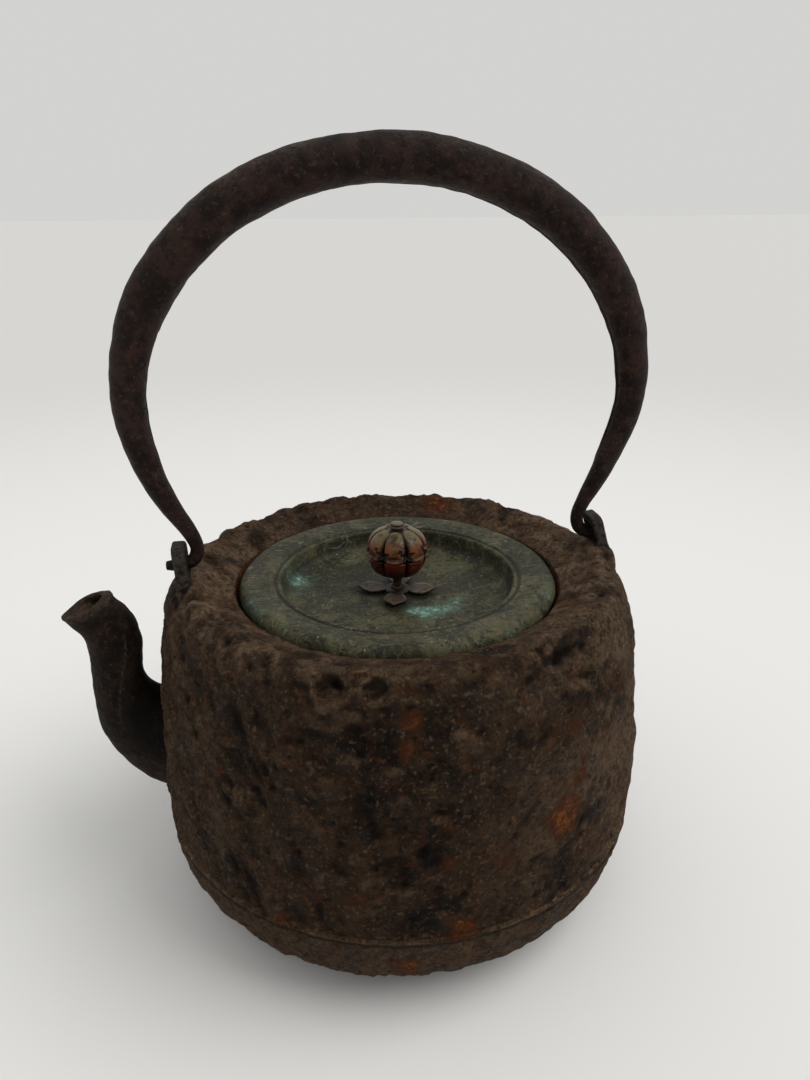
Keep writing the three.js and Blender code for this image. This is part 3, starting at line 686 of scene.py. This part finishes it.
def make_spout():
    """The spout, and a plug of its bore for cutting the pot."""
    stations = smooth(SPOUT, SPOUT_STEPS)
    outer_rows = len(stations)
    share = np.linspace(0, 1, outer_rows)
    outer, angle = spout_rings(stations, SPOUT_AROUND, np.zeros(outer_rows))
    wall = SPOUT_ROOT_WALL + (SPOUT_WALL - SPOUT_ROOT_WALL) * np.minimum(1, 1.6 * share)
    rim = step(share, 0.93, 1.0)
    beak = np.maximum(np.cos(angle), 0) ** 2
    outer[:, :, 1] *= 1 - 0.42 * rim[:, None] * beak
    inner_rows = slice(0, outer_rows, 3)
    inner, _ = spout_rings(stations[inner_rows], SPOUT_AROUND, wall[inner_rows])
    inner[:, :, 1] *= 1 - 0.42 * rim[inner_rows, None] * beak
    inner = inner[::-1]
    # a trough runs from the tip of the lip down to the bore, which starts near the back
    depth = (1 - share[inner_rows])[::-1] * 90
    fill = 6.0 * step(depth, -0.5, 4) * step(depth, 20, 4)
    fill = fill[:, None] * np.maximum(np.cos(angle), 0)
    to_back = stations[-1, 2:4] - stations[-1, 0:2]
    to_back /= np.linalg.norm(to_back)
    inner[:, :, 0] += fill * to_back[0]
    inner[:, :, 2] += fill * to_back[1]

    # the lip is a rounded edge
    way = unit(outer[-1] - outer[-4])
    lip = []
    for turn in np.radians(np.linspace(15, 165, LIP_STEPS)):
        blend = (1 - math.cos(turn)) / 2
        lip.append(outer[-1] * (1 - blend) + inner[0] * blend + way * math.sin(turn))
    rings = np.concatenate([outer, np.array(lip), inner])
    points = rings.reshape(-1, 3)
    rows = len(rings)
    row = np.repeat(np.arange(rows), SPOUT_AROUND)
    outside = row < outer_rows
    centre = np.repeat(rings.mean(1), SPOUT_AROUND, axis=0)
    push = unit(points - centre)
    relief = 0.42 * noise(points, 11, 30) + 0.24 * noise(points, 4.5, 31)
    relief += 0.1 * noise(points, 2.4, 32) - 0.45 * pits(points, 6, 0.2, 0.22, 33)
    # the mould's joint line runs along both flanks, nearer the pot than the middle
    along = np.repeat(np.r_[share, np.ones(rows - outer_rows)], SPOUT_AROUND)
    flank = np.tile(np.cos(angle), rows) + 1.9 * along - 0.9
    line = bell(flank, 0, 0.03) * step(along, 0.38, 0.46) * step(along, 0.84, 0.76)
    relief += 0.12 * line * outside
    relief *= np.where(outside, 1.0, 0.35)
    rim = step(along, 0.93, 1.0)
    relief += 0.35 * rim * noise(points, 3.2, 34)
    # the lip's back edge is rolled out
    back = np.tile(np.maximum(-np.cos(angle), 0) ** 3, rows) * outside
    relief += back * (0.7 * step(along, 0.965, 0.99) - 0.5 * bell(along, 0.94, 0.02))
    points = points + push * relief[:, None]
    piece = skin("spout_casting", points.reshape(rings.shape), wrap=True)
    facing = normals_of(piece)
    # painted highlight on raised relief and on the lip's upward faces; the mould line is lighter too
    worn = step(relief, 0.25, 0.7) * 0.25 + 0.25 * rim * (facing[:, 2] > 0) + 0.7 * line
    rust = 0.1 + 0.3 * rim + 0.3 * step(along, 0.35, 0.0) * step(noise(points, 6, 35), -0.2, 0.4)
    # painted shade, with some soot, on the inner side of the bend near the pot; deep inside is
    # painted shade too
    bend = bell(along, 0.3, 0.22) * np.tile(step(np.cos(angle), 0.5, -0.2), rows)
    deep = row > outer_rows + LIP_STEPS + 3
    paint(piece, worn=np.where(deep, 0, worn), rust=np.where(deep, 0, rust),
          hollow=np.where(outside, bend, np.where(deep, 0.8, 0)))

    bore, _ = spout_rings(stations[:BORE_STATIONS], 48, wall[:BORE_STATIONS] - 0.05)
    bore[0] += (14, 0, 0)  # into the pot
    plug = skin("spout_bore", bore, ends=(bore[0].mean(0), bore[-1].mean(0)))
    return piece, plug


# ---- lugs ----

LUG_HOLE = 2.6


def make_lug(name):
    """A cast plate with rubbed round edges, a hole for the bail's pin and a spread root."""
    place_x, lean = LUGS[name]
    half, root_half, top, root, corner = 4.9, 6.9, 6.9, 10.4, 2.6
    outline = [(root_half - (root_half - half) * share**0.5, -root + (root - 1) * share)
               for share in np.linspace(0, 1, 8)]
    outline += [(half - corner + corner * math.cos(t), top - corner + corner * math.sin(t))
                for t in np.linspace(0, np.pi / 2, 8)]
    outline += [(-x, z) for x, z in reversed(outline)]
    plate = bmesh.new()
    sides = []
    for way in (-1, 1):
        ring = []
        for y, z in outline:
            half_thick = 2.15 + 0.4 * max(0.0, -3 - z) / 4
            ring.append(plate.verts.new(Vector((way * half_thick, y, z)) * MM))
        sides.append(ring)
        plate.faces.new(ring if way > 0 else ring[::-1])
    bridge(plate, *sides)
    piece = from_shape(name, plate)
    bevel = piece.modifiers.new("round", "BEVEL")
    bevel.width, bevel.segments, bevel.limit_method = 0.9 * MM, 4, "ANGLE"
    remesh = piece.modifiers.new("even", "REMESH")
    remesh.mode, remesh.voxel_size = "VOXEL", 0.3 * MM
    apply_modifiers(piece)
    drill_rings, _, _ = spun([(LUG_HOLE, -8), (LUG_HOLE, 8)], 32)
    drill = skin("drill", drill_rings[:, :, [2, 0, 1]], ends=((-8, 0, 0), (8, 0, 0)))
    cut(piece, drill, "EXACT")
    points = points_of(piece)
    normal = normals_of(piece)
    off_axis = np.hypot(points[:, 1], points[:, 2])
    shear = np.minimum(-lean * points[:, 2], 1.6) * step(off_axis, 2.3, 4.5)
    place = points + (place_x, 0, HINGE_HEIGHT)
    relief = 0.35 * noise(place, 5.5, 40) + 0.22 * noise(place, 2.4, 41)
    relief = np.where(off_axis < 2.9, 0, relief) * (1 - 0.6 * np.abs(normal[:, 0]))
    place[:, 0] += shear
    place += normal * relief[:, None]
    # the foot stays inside the shoulder
    limit = np.interp(place[:, 2], (106, 108, 110.4, 112.5, 114), (73.6, 73.0, 71.3, 72.6, 74))
    place[:, 0] = np.clip(place[:, 0], -limit, limit)
    piece.data.vertices.foreach_set("co", (place * MM).ravel())
    piece.data.update()
    edge = step(np.maximum(np.abs(points[:, 1]) / half, points[:, 2] / top), 0.8, 1.0)
    paint(piece, worn=edge * 0.5, rust=step(points[:, 2], 0, -8) * 0.5)
    return piece


# ---- bail ----

# Half width, height above the hinge and radius of the bar, from its end to its arch
BAIL_LEG = [
    (73.5, 0, 1.4), (70, 0, 2.0), (66.8, 0.2, 2.0), (64.2, 2.2, 2.2), (63.3, 6, 2.2),
    (65.2, 11.6, 2.6), (69.5, 20, 3.3), (72.9, 28, 3.9), (76, 36, 4.4), (78.2, 43.5, 4.8),
    (78.9, 50, 5.1),
]
BAIL_SPRING = 50  # where the arch starts, above the hinge
BAIL_HALF_SPAN, BAIL_RISE = 78.9, 67.5
SPOUT_LEG_SPREAD = 1.6
HOOK_SHIFT = 0.6  # of both ends towards the spout
BAIL_AROUND = 48
BAIL_LEAN = math.radians(-3)


def make_bail():
    leg = smooth(BAIL_LEG, 150)[:-1]
    arch = []
    for angle in np.linspace(0, np.pi, 321):
        rise = min(angle, math.pi - angle)
        share = math.sin(min(1, rise / math.radians(50)) * math.pi / 2)
        arch.append((BAIL_HALF_SPAN * math.cos(angle), BAIL_SPRING + BAIL_RISE * math.sin(angle),
                     5.1 + 1.95 * share))
    spout_leg = leg.copy()
    up = np.minimum(leg[:, 1], BAIL_SPRING) / BAIL_SPRING
    spout_leg[:, 0] += SPOUT_LEG_SPREAD * np.sin(np.pi * up) ** 2
    spout_leg[:, 0] *= -1
    path = np.vstack([leg, arch, spout_leg[::-1]])
    path[:, 0] -= HOOK_SHIFT * step(path[:, 1], 24, 6)
    centre = np.stack([path[:, 0], np.zeros(len(path)), path[:, 1]], 1)
    way = unit(np.gradient(centre, axis=0))
    outward = np.stack([way[:, 2], np.zeros(len(path)), -way[:, 0]], 1)
    # both ends are rounded
    from_end = np.arange(len(path)) + 0.6
    from_end = np.minimum(from_end, from_end[::-1])
    girth = np.minimum(path[:, 2], np.sqrt(from_end * 1.1))
    angle = np.linspace(0, 2 * np.pi, BAIL_AROUND, endpoint=False) + np.pi / BAIL_AROUND
    # the rolled sheet meets on the inner side, in a fine groove
    inner = bell(angle, np.pi, 0.085)
    open_part = step(path[:, 1], 24, 34)
    depth = 1 - open_part[:, None] * inner[None] * (1.1 / girth)[:, None]
    flat = 1 - 0.03 * np.cos(2 * angle)
    rings = centre[:, None] + (girth[:, None] * depth * flat)[..., None] * (
        outward[:, None] * np.cos(angle)[None, :, None]
        + np.array([0, 1.0, 0]) * np.sin(angle)[None, :, None]
    )
    points = rings.reshape(-1, 3)
    push = unit(points - np.repeat(centre, BAIL_AROUND, axis=0))
    free = np.repeat(step(path[:, 1], 3, 12) * np.minimum(1, girth / 5), BAIL_AROUND)
    relief = 0.3 * noise(points, 24, 45) + 0.2 * noise(points, 8, 46)
    relief += 0.14 * noise(points, 3.6, 47) - 0.28 * pits(points, 7, 0.22, 0.2, 48)
    points = points + push * (relief * free)[:, None]
    lean = np.array(Matrix.Rotation(BAIL_LEAN, 3, "X"))
    points = points @ lean.T + (0, 0, HINGE_HEIGHT)
    tips = [(x - HOOK_SHIFT, 0, HINGE_HEIGHT) for x in (73.6, -73.6)]
    piece = skin("bail_bar", points.reshape(rings.shape), ends=tips)
    facing = normals_of(piece)
    place = points_of(piece)
    top = step(facing[:, 2], 0.35, 0.95) * step(place[:, 2], 175, 225)
    left = step(place[:, 0], 10, -60) * step(place[:, 2], 150, 190)
    # painted sheen, with some wear, on the upward faces at the top of the arch, more towards the
    # left
    worn = top * (0.3 + 0.35 * left) * step(noise(place, 12, 49), -0.5, 0.5)
    rust = 0.3 * step(facing[:, 2], 0.1, 0.8) * left + 0.1 * top
    paint(piece, worn=worn, rust=rust)
    return piece


# ---- lid ----

# Radius and height above the lid's base
LID_UNDERSIDE = [
    (RIVET_HOLE, -3.9), (12, -3.9), (25, -3.9), (37.4, -3.9), (37.9, -3.4), (40.7, 1.7), (41.2, 2),
    (43, 2), (43.2, 1.6), (43.2, -4), (43.2, -8.1), (43.4, -8.3), (45.4, -8.3), (45.6, -8.1),
    (45.6, -4), (45.6, -0.2), (45.8, 0), (50, 0),
]
LID_RIM = [
    (50.2, 0), (51.6, 0.7), (52.35, 2.3), (52.15, 3.9), (51.3, 5.3), (49.7, 6.15), (47.6, 6.15),
    (44.6, 5.75), (42.4, 5.4), (41.4, 5.2), (40.9, 4.75), (40.45, 4.6), (40.05, 4.85), (39.5, 5.0),
    (38.95, 4.8), (38.6, 4.2), (38.3, 3.0), (37.8, 1.2), (36.6, -0.4), (34.5, -1.15), (31.5, -1.4),
]
# Verdigris: azimuth, radius, height, width, strength
VERDIGRIS = [
    (158, 36, 102.9, 8, 0.7), (172, 33, 102.9, 6, 0.45), (-84, 15.5, 102.9, 4, 0.75),
    (-74, 17.5, 102.9, 4.5, 0.95), (-62, 19, 102.9, 5, 0.95), (-48, 20.5, 102.9, 5.5, 0.75),
    (-34, 21, 102.9, 5, 0.6), (-157, 49.5, 109.5, 5.5, 0.45), (-165, 50.5, 108.5, 6, 0.45),
    (-32, 51.5, 108.5, 5, 0.45), (-20, 51.5, 108.5, 5, 0.45), (-60, 52, 107, 4.5, 0.5),
    (95, 12, 102.9, 5, 0.4), (20, 26, 102.9, 8, 0.3), (60, 50, 109, 6, 0.45),
    (115, 51, 108.5, 5, 0.45), (-100, 28, 102.9, 7, 0.3),
]

# Dark stains: azimuth, radius, height, width, strength
STAINS = [
    (168, 19, 102.9, 6, 0.55), (120, 20, 102.9, 8, 0.4), (-140, 24, 102.9, 7, 0.35),
    (10, 30, 102.9, 7, 0.35), (70, 27, 102.9, 8, 0.35), (-85, 31, 102.9, 6, 0.3),
    (150, 49, 110, 8, 0.35), (-100, 48, 110, 8, 0.3), (-50, 47, 110, 6, 0.35),
    (-5, 48, 110, 9, 0.3), (60, 47, 110, 8, 0.35), (-130, 46, 110, 5, 0.3),
]
LEAF_TURN = math.radians(-16)
LID_AROUND = 288


def make_lid():
    rim = smooth(LID_RIM, 96)
    floor = [(r, -1.4) for r in np.linspace(30.6, RIVET_HOLE, 30)]
    profile = np.vstack([LID_UNDERSIDE, rim, floor, [(RIVET_HOLE, -2.6)]]) + (0, LID_BASE)
    rings, normals, _ = spun(profile, LID_AROUND)
    points = rings.reshape(-1, 3)
    normal = normals.reshape(-1, 3)
    row = np.repeat(np.arange(len(profile)), LID_AROUND) - len(LID_UNDERSIDE)
    seen = (row >= 0) & (row < len(rim) + len(floor) - 3)
    relief = 0.16 * noise(points, 22, 60) + 0.06 * noise(points, 7, 61)
    relief -= 0.18 * pits(points, 9, 0.2, 0.16, 62)
    points = points + normal * np.where(seen, relief, 0)[:, None]
    piece = skin("lid_casting", points.reshape(rings.shape), wrap=True)
    radius = np.hypot(points[:, 0], points[:, 1])
    green = spread(points + 2.2 * wobble(points, 5, (63, 64, 65)), VERDIGRIS)
    groove = bell(radius, 40.5, 0.55) * seen
    corner = bell(radius, 37.6, 1.2) * (points[:, 2] < 106) * seen
    under_edge = step(points[:, 2], 106.4, 104.4) * (radius > 50)
    # painted shade on the dish round the leaves
    bearing = np.arctan2(points[:, 1], points[:, 0]) - LEAF_TURN
    leaf = np.cos(4 * bearing) * 0.5 + 0.5
    grime = step(radius, 11.5 + 6.5 * leaf + 2 * noise(points, 5, 66), 7.0 + 6.0 * leaf)
    stain = spread(points + 3 * wobble(points, 7, (67, 68, 69)), STAINS)
    # painted shade in the bead's groove, the dish's corner, under the rim's edge and round the
    # leaves, with the dark stains
    hollow = 0.75 * groove + 0.5 * corner + under_edge + (0.8 * grime + stain) * seen
    paint(piece, verdigris=green, hollow=hollow)
    return piece


# ---- seat, knob and rivet ----

# Distance from the middle and half width of a leaf
LEAF = [(3.2, 1.7), (4.2, 2.1), (5.6, 3), (7.4, 3.75), (8.7, 4), (9.6, 3.8), (11.2, 2.5),
        (12.8, 0.9), (13.5, 0.25)]
# Across a leaf, in half widths, and up
LEAF_SECTION = [(-1, 0.3), (-0.96, 0.72), (-0.88, 0.92), (-0.7, 0.76), (0, 0.74), (0.7, 0.76),
                (0.88, 0.92), (0.96, 0.72), (1, 0.3), (0.9, 0), (0, 0), (-0.9, 0)]


def make_seat():
    """Four pointed leaves in a cross, with rims that stand up, bent up a little at their tips."""
    plate = bmesh.new()
    # each leaf's length as a share of the longest, and how far it falls short of the full rise
    for quarter, (length, droop) in enumerate(((0.94, 0), (0.96, 0.1), (1, 0), (0.98, 0.15))):
        angle = LEAF_TURN + quarter * math.pi / 2
        along = np.array([math.cos(angle), math.sin(angle)])
        across = np.array([-along[1], along[0]])
        rings = []
        for reach, half in smooth(LEAF, 32):
            bend = max(0.0, (reach - 5) / 8.6) * (0.6 - droop)
            ring = []
            for part, lift in LEAF_SECTION:
                x, y = along * reach * length + across * half * part
                z = DISH_FLOOR + 0.5 + bend + lift * 0.9
                ring.append(plate.verts.new(Vector((x, y, z)) * MM))
            rings.append(ring)
        for low, high in itertools.pairwise(rings):
            bridge(plate, low, high)
        plate.faces.new(rings[0])
        plate.faces.new(rings[-1][::-1])
    hub = [(RIVET_HOLE, 0.3), (4.2, 0.3), (4.4, 0.8), (4.1, 1.3), (RIVET_HOLE, 1.4)]
    hub_rings, _, _ = spun([(r, DISH_FLOOR + z) for r, z in hub], 40)
    hub = [[plate.verts.new(Vector(p) * MM) for p in ring] for ring in hub_rings]
    for low, high in itertools.pairwise([*hub, hub[0]]):
        bridge(plate, low, high)
    piece = from_shape("seat_leaves", plate)
    points = points_of(piece)
    reach = np.hypot(points[:, 0], points[:, 1])
    above = points[:, 2] - DISH_FLOOR - 0.2 - 0.6 * np.maximum(0, reach - 5) / 8.6
    # painted shade on the leaves' low edges and near the hub; painted highlight on their rims
    low = step(above, 0.85, 0.35)
    rim = step(above, 1.02, 1.12) * step(reach, 5.0, 7)
    paint(piece, crown=0.2 + 0.6 * step(reach, 4, 8), worn=0.6 * rim,
          hollow=np.maximum(low, 0.7 * step(reach, 5.5, 3.5)))
    return piece


KNOB_CENTRE = 117.5
KNOB_RADIUS, KNOB_HALF, KNOB_FULLNESS = 10.15, 8.6, 2.5
KNOB_JOINT = -0.2
KNOB_END = 8.55
LOBES = 7
LOBE_TURN = math.radians(-105.6)
LOBE_WIDTH = 9.1  # along the knob's skin


def knob_shell(name, from_height, to_height, drop):
    """One shell of the knob, drop smaller all round. Its profile is a superellipse. The upper one
    ends in lobes round a sunk top, its lower edge is a lip that rises to each groove, and a small
    flower is pierced there."""
    around, rows, inner_rows = 308, 72, 16
    low = math.asin(from_height / KNOB_HALF)
    high = math.asin(to_height / KNOB_HALF)

    def wall(count, inset):
        turn = np.linspace(low, high, count)
        power = 2 / KNOB_FULLNESS
        across = (KNOB_RADIUS - inset) * np.cos(turn) ** power
        up = (KNOB_HALF - inset) * np.sign(turn) * np.abs(np.sin(turn)) ** power
        return np.stack([across, up], 1)

    profile = np.vstack([wall(rows, drop), wall(inner_rows, drop + 1.1)[::-1]])
    profile[:, 0] = np.maximum(profile[:, 0], RIVET_HOLE)
    rings, normals, angle = spun(profile, around, LOBE_TURN)
    from_groove = (angle - LOBE_TURN) * LOBES / (2 * np.pi) % 1 - 0.5
    off_groove = np.abs(from_groove)
    lobe = np.sqrt(np.maximum(0, 1 - (1 - 2 * off_groove) ** 2))[None]
    cleft = bell(off_groove, 0, 0.06)[None]
    reach = np.linalg.norm(rings[:, :, :2], axis=2)
    share = step(reach, 2.0, 5.5)
    scale = 1 - share * (0.12 * (1 - lobe) + 0.07 * cleft)
    rings[:, :, :2] *= scale[..., None]
    z = rings[:, :, 2].copy()
    outer = (np.arange(len(profile)) < rows)[:, None]
    upper = from_height > -1
    # painted shade in the grooves
    hollow = bell(off_groove, 0, 0.1)[None] * share * outer
    worn = np.zeros_like(z)
    if upper:
        end = 3.3 + 2.3 * (1 - lobe)
        # painted shade in the sunk top
        sunk = step(reach, end + 0.45, end - 0.35) * (z > 0) * outer
        rings[:, :, 2] -= 0.55 * sunk
        hollow = np.maximum(hollow, 0.85 * sunk)
        # the lip
        rings[:, :, 2] += 1.2 * (1 - lobe**0.5) * bell(z, KNOB_JOINT, 1.6)
        above = z - KNOB_JOINT
        bulge = bell(above, 0.45, 0.4) - 0.5 * bell(above, 1.5, 0.5)
        rings += normals * (0.22 * bulge * outer * lobe)[..., None]
        # a lighter band along the lip
        worn = 0.55 * bell(above, 0.35, 0.4) * lobe**2 * outer
        # a five-petalled flower on each groove, and a small hole beside it
        flat_x = from_groove[None] * LOBE_WIDTH
        flat_z = above - 1.9
        bearing = np.arctan2(flat_z, flat_x)
        petal = 3.1 * (0.5 + 0.5 * np.cos(2.5 * (bearing - np.pi / 2)) ** 2)
        flower = step(np.hypot(flat_x, flat_z), petal, petal * 0.7)
        hole = step(np.hypot(flat_x + 2.6, flat_z - 1.7), 0.8, 0.5)
        # painted shade in the pressed flower and the small hole
        pierced = np.maximum(flower, hole) * outer
        rings -= normals * (0.8 * pierced)[..., None]
        hollow = np.maximum(hollow, pierced)
    else:
        # painted shade under the upper shell's lip and below each flower
        near = bell(z, KNOB_JOINT, 0.45) * outer
        hollow = np.maximum(hollow, 0.9 * near)
        under_flower = bell(off_groove, 0, 0.13)[None] * step(z, -2.2, -0.6) * outer
        hollow = np.maximum(hollow, under_flower)
    rings[:, :, 2] += KNOB_CENTRE
    piece = skin(name, rings, wrap=True)
    crown = np.clip(z / KNOB_HALF, 0, 1) if upper else np.clip(1 + z / KNOB_HALF, 0, 1)
    paint(piece, hollow=hollow.ravel(), worn=worn.ravel(), crown=crown.ravel())
    return piece


def turned(name, profile, around=64):
    """A closed profile of (radius, height) turned about Z. A profile that starts and ends on the
    axis is closed on its two end points."""
    profile = np.array(profile, float)
    if profile[0][0] == 0:
        rings, _, _ = spun(profile[1:-1], around)
        piece = skin(name, rings, ends=((0, 0, profile[0][1]), (0, 0, profile[-1][1])))
    else:
        rings, _, _ = spun(profile, around)
        piece = skin(name, rings, wrap=True)
    return piece


def washer_profile(radius, base, thickness):
    top = base + thickness
    return [(RIVET_HOLE, base), (radius - 0.1, base), (radius, base + 0.12),
            (radius, base + thickness * 0.55), (radius - 0.15, base + thickness * 0.85),
            (radius - 0.45, top), (RIVET_HOLE, top)]


RIVET = [
    (0, 97.8), (1.2, 97.85), (2.1, 98.05), (2.7, 98.4), (3, 98.8), (3, 99.1), (1.6, 99.1),
    (1.6, 103.9), (1.8, 104.2), (1.8, 104.6), (1.45, 104.9), (1.35, 105.4), (1.55, 105.7),
    (1.55, 106.1), (1.4, 106.4), (1.5, 107.2), (1.75, 108.2), (1.6, 110), (1.6, 120), (1.6, 127.2),
    (1.95, 127.2), (1.95, 127.45), (1.8, 127.65), (1.3, 127.78), (0.7, 127.82), (0, 127.83),
]


# ---- building ----

pot = make_pot()
spout, bore = make_spout()
cut(pot, bore, "MANIFOLD")
belongs(pot, "pot", "pot_iron", "kettle_body")
belongs(spout, "pot", "spout_iron", "spout")
belongs(make_lug("lug_near_spout"), "pot", "lug_iron", "lug_spout_side")
belongs(make_lug("lug_opposite"), "pot", "lug_iron", "lug_far_side")
belongs(make_bail(), "bail", "handle_iron", "handle")
belongs(make_lid(), "lid", "lid_bronze", "lid")
belongs(make_seat(), "lid", "seat_bronze", "petal_seat")
belongs(knob_shell("knob_upper", KNOB_JOINT, KNOB_END, 0.0), "knob", "knob_copper",
        "knob_upper_shell")
belongs(knob_shell("knob_lower", -KNOB_END, KNOB_JOINT - 0.3, 0.2), "knob", "knob_red_copper",
        "knob_lower_shell")
plain_pieces = {
    "top_washer": (washer_profile(2.9, 126.4, 0.5), "seat_bronze", "knob_washer"),
    "under_washer": (washer_profile(5.0, 99.4, 0.7), "seat_bronze", "rivet_washer"),
    "rivet": (RIVET, "rivet_copper", "knob_rivet"),
}
for piece_name, (profile, slot, node) in plain_pieces.items():
    piece = turned(piece_name, profile)
    height = points_of(piece)[:, 2]
    paint(piece, crown=0.15 + 0.75 * step(height, 120, 127), worn=0.15 * (height > 127))
    belongs(piece, "lid", slot, node)

# ---- floor, light and camera ----


def make_floor():
    mesh = bpy.data.meshes.new("floor")
    side = 12.0
    mesh.from_pydata([(-side, -side, 0), (side, -side, 0), (side, side, 0), (-side, side, 0)], [],
                     [(0, 1, 2, 3)])
    floor = linked("floor", mesh)
    g = Graph("floor_pale", Specular_IOR_Level=0.2)
    away = g.add("ShaderNodeVectorMath", {0: g.place}, operation="LENGTH").outputs["Value"]
    # painted shade: the floor is darker further from the kettle, as though less lit there
    g.colour = g.mix(g.band(away, 0.2, 1.0), (0.91, 0.91, 0.9), (0.74, 0.74, 0.73))
    mesh.materials.append(g.done(0.8))


def make_sun():
    """Soft light from the upper right, a little from the front."""
    data = bpy.data.lights.new("sun", "SUN")
    data.energy, data.angle, data.color = 1.25, math.radians(45), (1.0, 0.985, 0.96)
    shines = Vector((-0.58, 0.2, -0.79))
    linked("sun", data).rotation_euler = shines.to_track_quat("-Z", "Y").to_euler()


def make_world():
    """A pale room with a bright ceiling, darker in front of the kettle than behind it."""
    world = bpy.data.worlds.new("world")
    bpy.context.scene.world = world
    world.use_nodes = True
    nodes, links = world.node_tree.nodes, world.node_tree.links
    split = nodes.new("ShaderNodeSeparateXYZ")
    links.new(nodes.new("ShaderNodeTexCoord").outputs["Generated"], split.inputs[0])

    def fade(axis, low, high, dark, bright):
        node = nodes.new("ShaderNodeMapRange")
        node.interpolation_type = "SMOOTHSTEP"
        ends = {"From Min": low, "From Max": high, "To Min": dark, "To Max": bright}
        for socket, value in ends.items():
            node.inputs[socket].default_value = value
        links.new(split.outputs[axis], node.inputs["Value"])
        return node.outputs["Result"]

    strength = nodes.new("ShaderNodeMix")
    links.new(fade("Z", 0.3, 0.8, 0, 1), strength.inputs["Factor"])
    links.new(fade("Y", -0.7, 0.3, 0.36, 0.65), strength.inputs["A"])
    strength.inputs["B"].default_value = 0.64
    background = nodes["Background"]
    background.inputs["Color"].default_value = (1.0, 0.995, 0.975, 1)
    links.new(strength.outputs[0], background.inputs["Strength"])


def make_camera():
    yaw, pitch, roll = (math.radians(v) for v in (10.92, 22.78, -0.28))
    ahead = Vector((math.sin(yaw), math.cos(yaw), 0))
    forward = ahead * math.cos(pitch) + Vector((0, 0, -math.sin(pitch)))
    level = Vector((math.cos(yaw), -math.sin(yaw), 0))
    upright = level.cross(forward)
    right = math.cos(roll) * level + math.sin(roll) * upright
    up = math.cos(roll) * upright - math.sin(roll) * level
    data = bpy.data.cameras.new("camera")
    data.lens, data.sensor_width = 26.92, 36
    data.clip_start, data.clip_end = 0.01, 50
    camera = linked("camera", data)
    turn = Matrix((right, up, -forward)).transposed().to_4x4()
    camera.matrix_world = Matrix.Translation((-0.044, -0.242, 0.2248)) @ turn
    bpy.context.scene.camera = camera


make_floor()
make_sun()
make_world()
make_camera()
bpy.context.scene.view_settings.view_transform = "Standard"
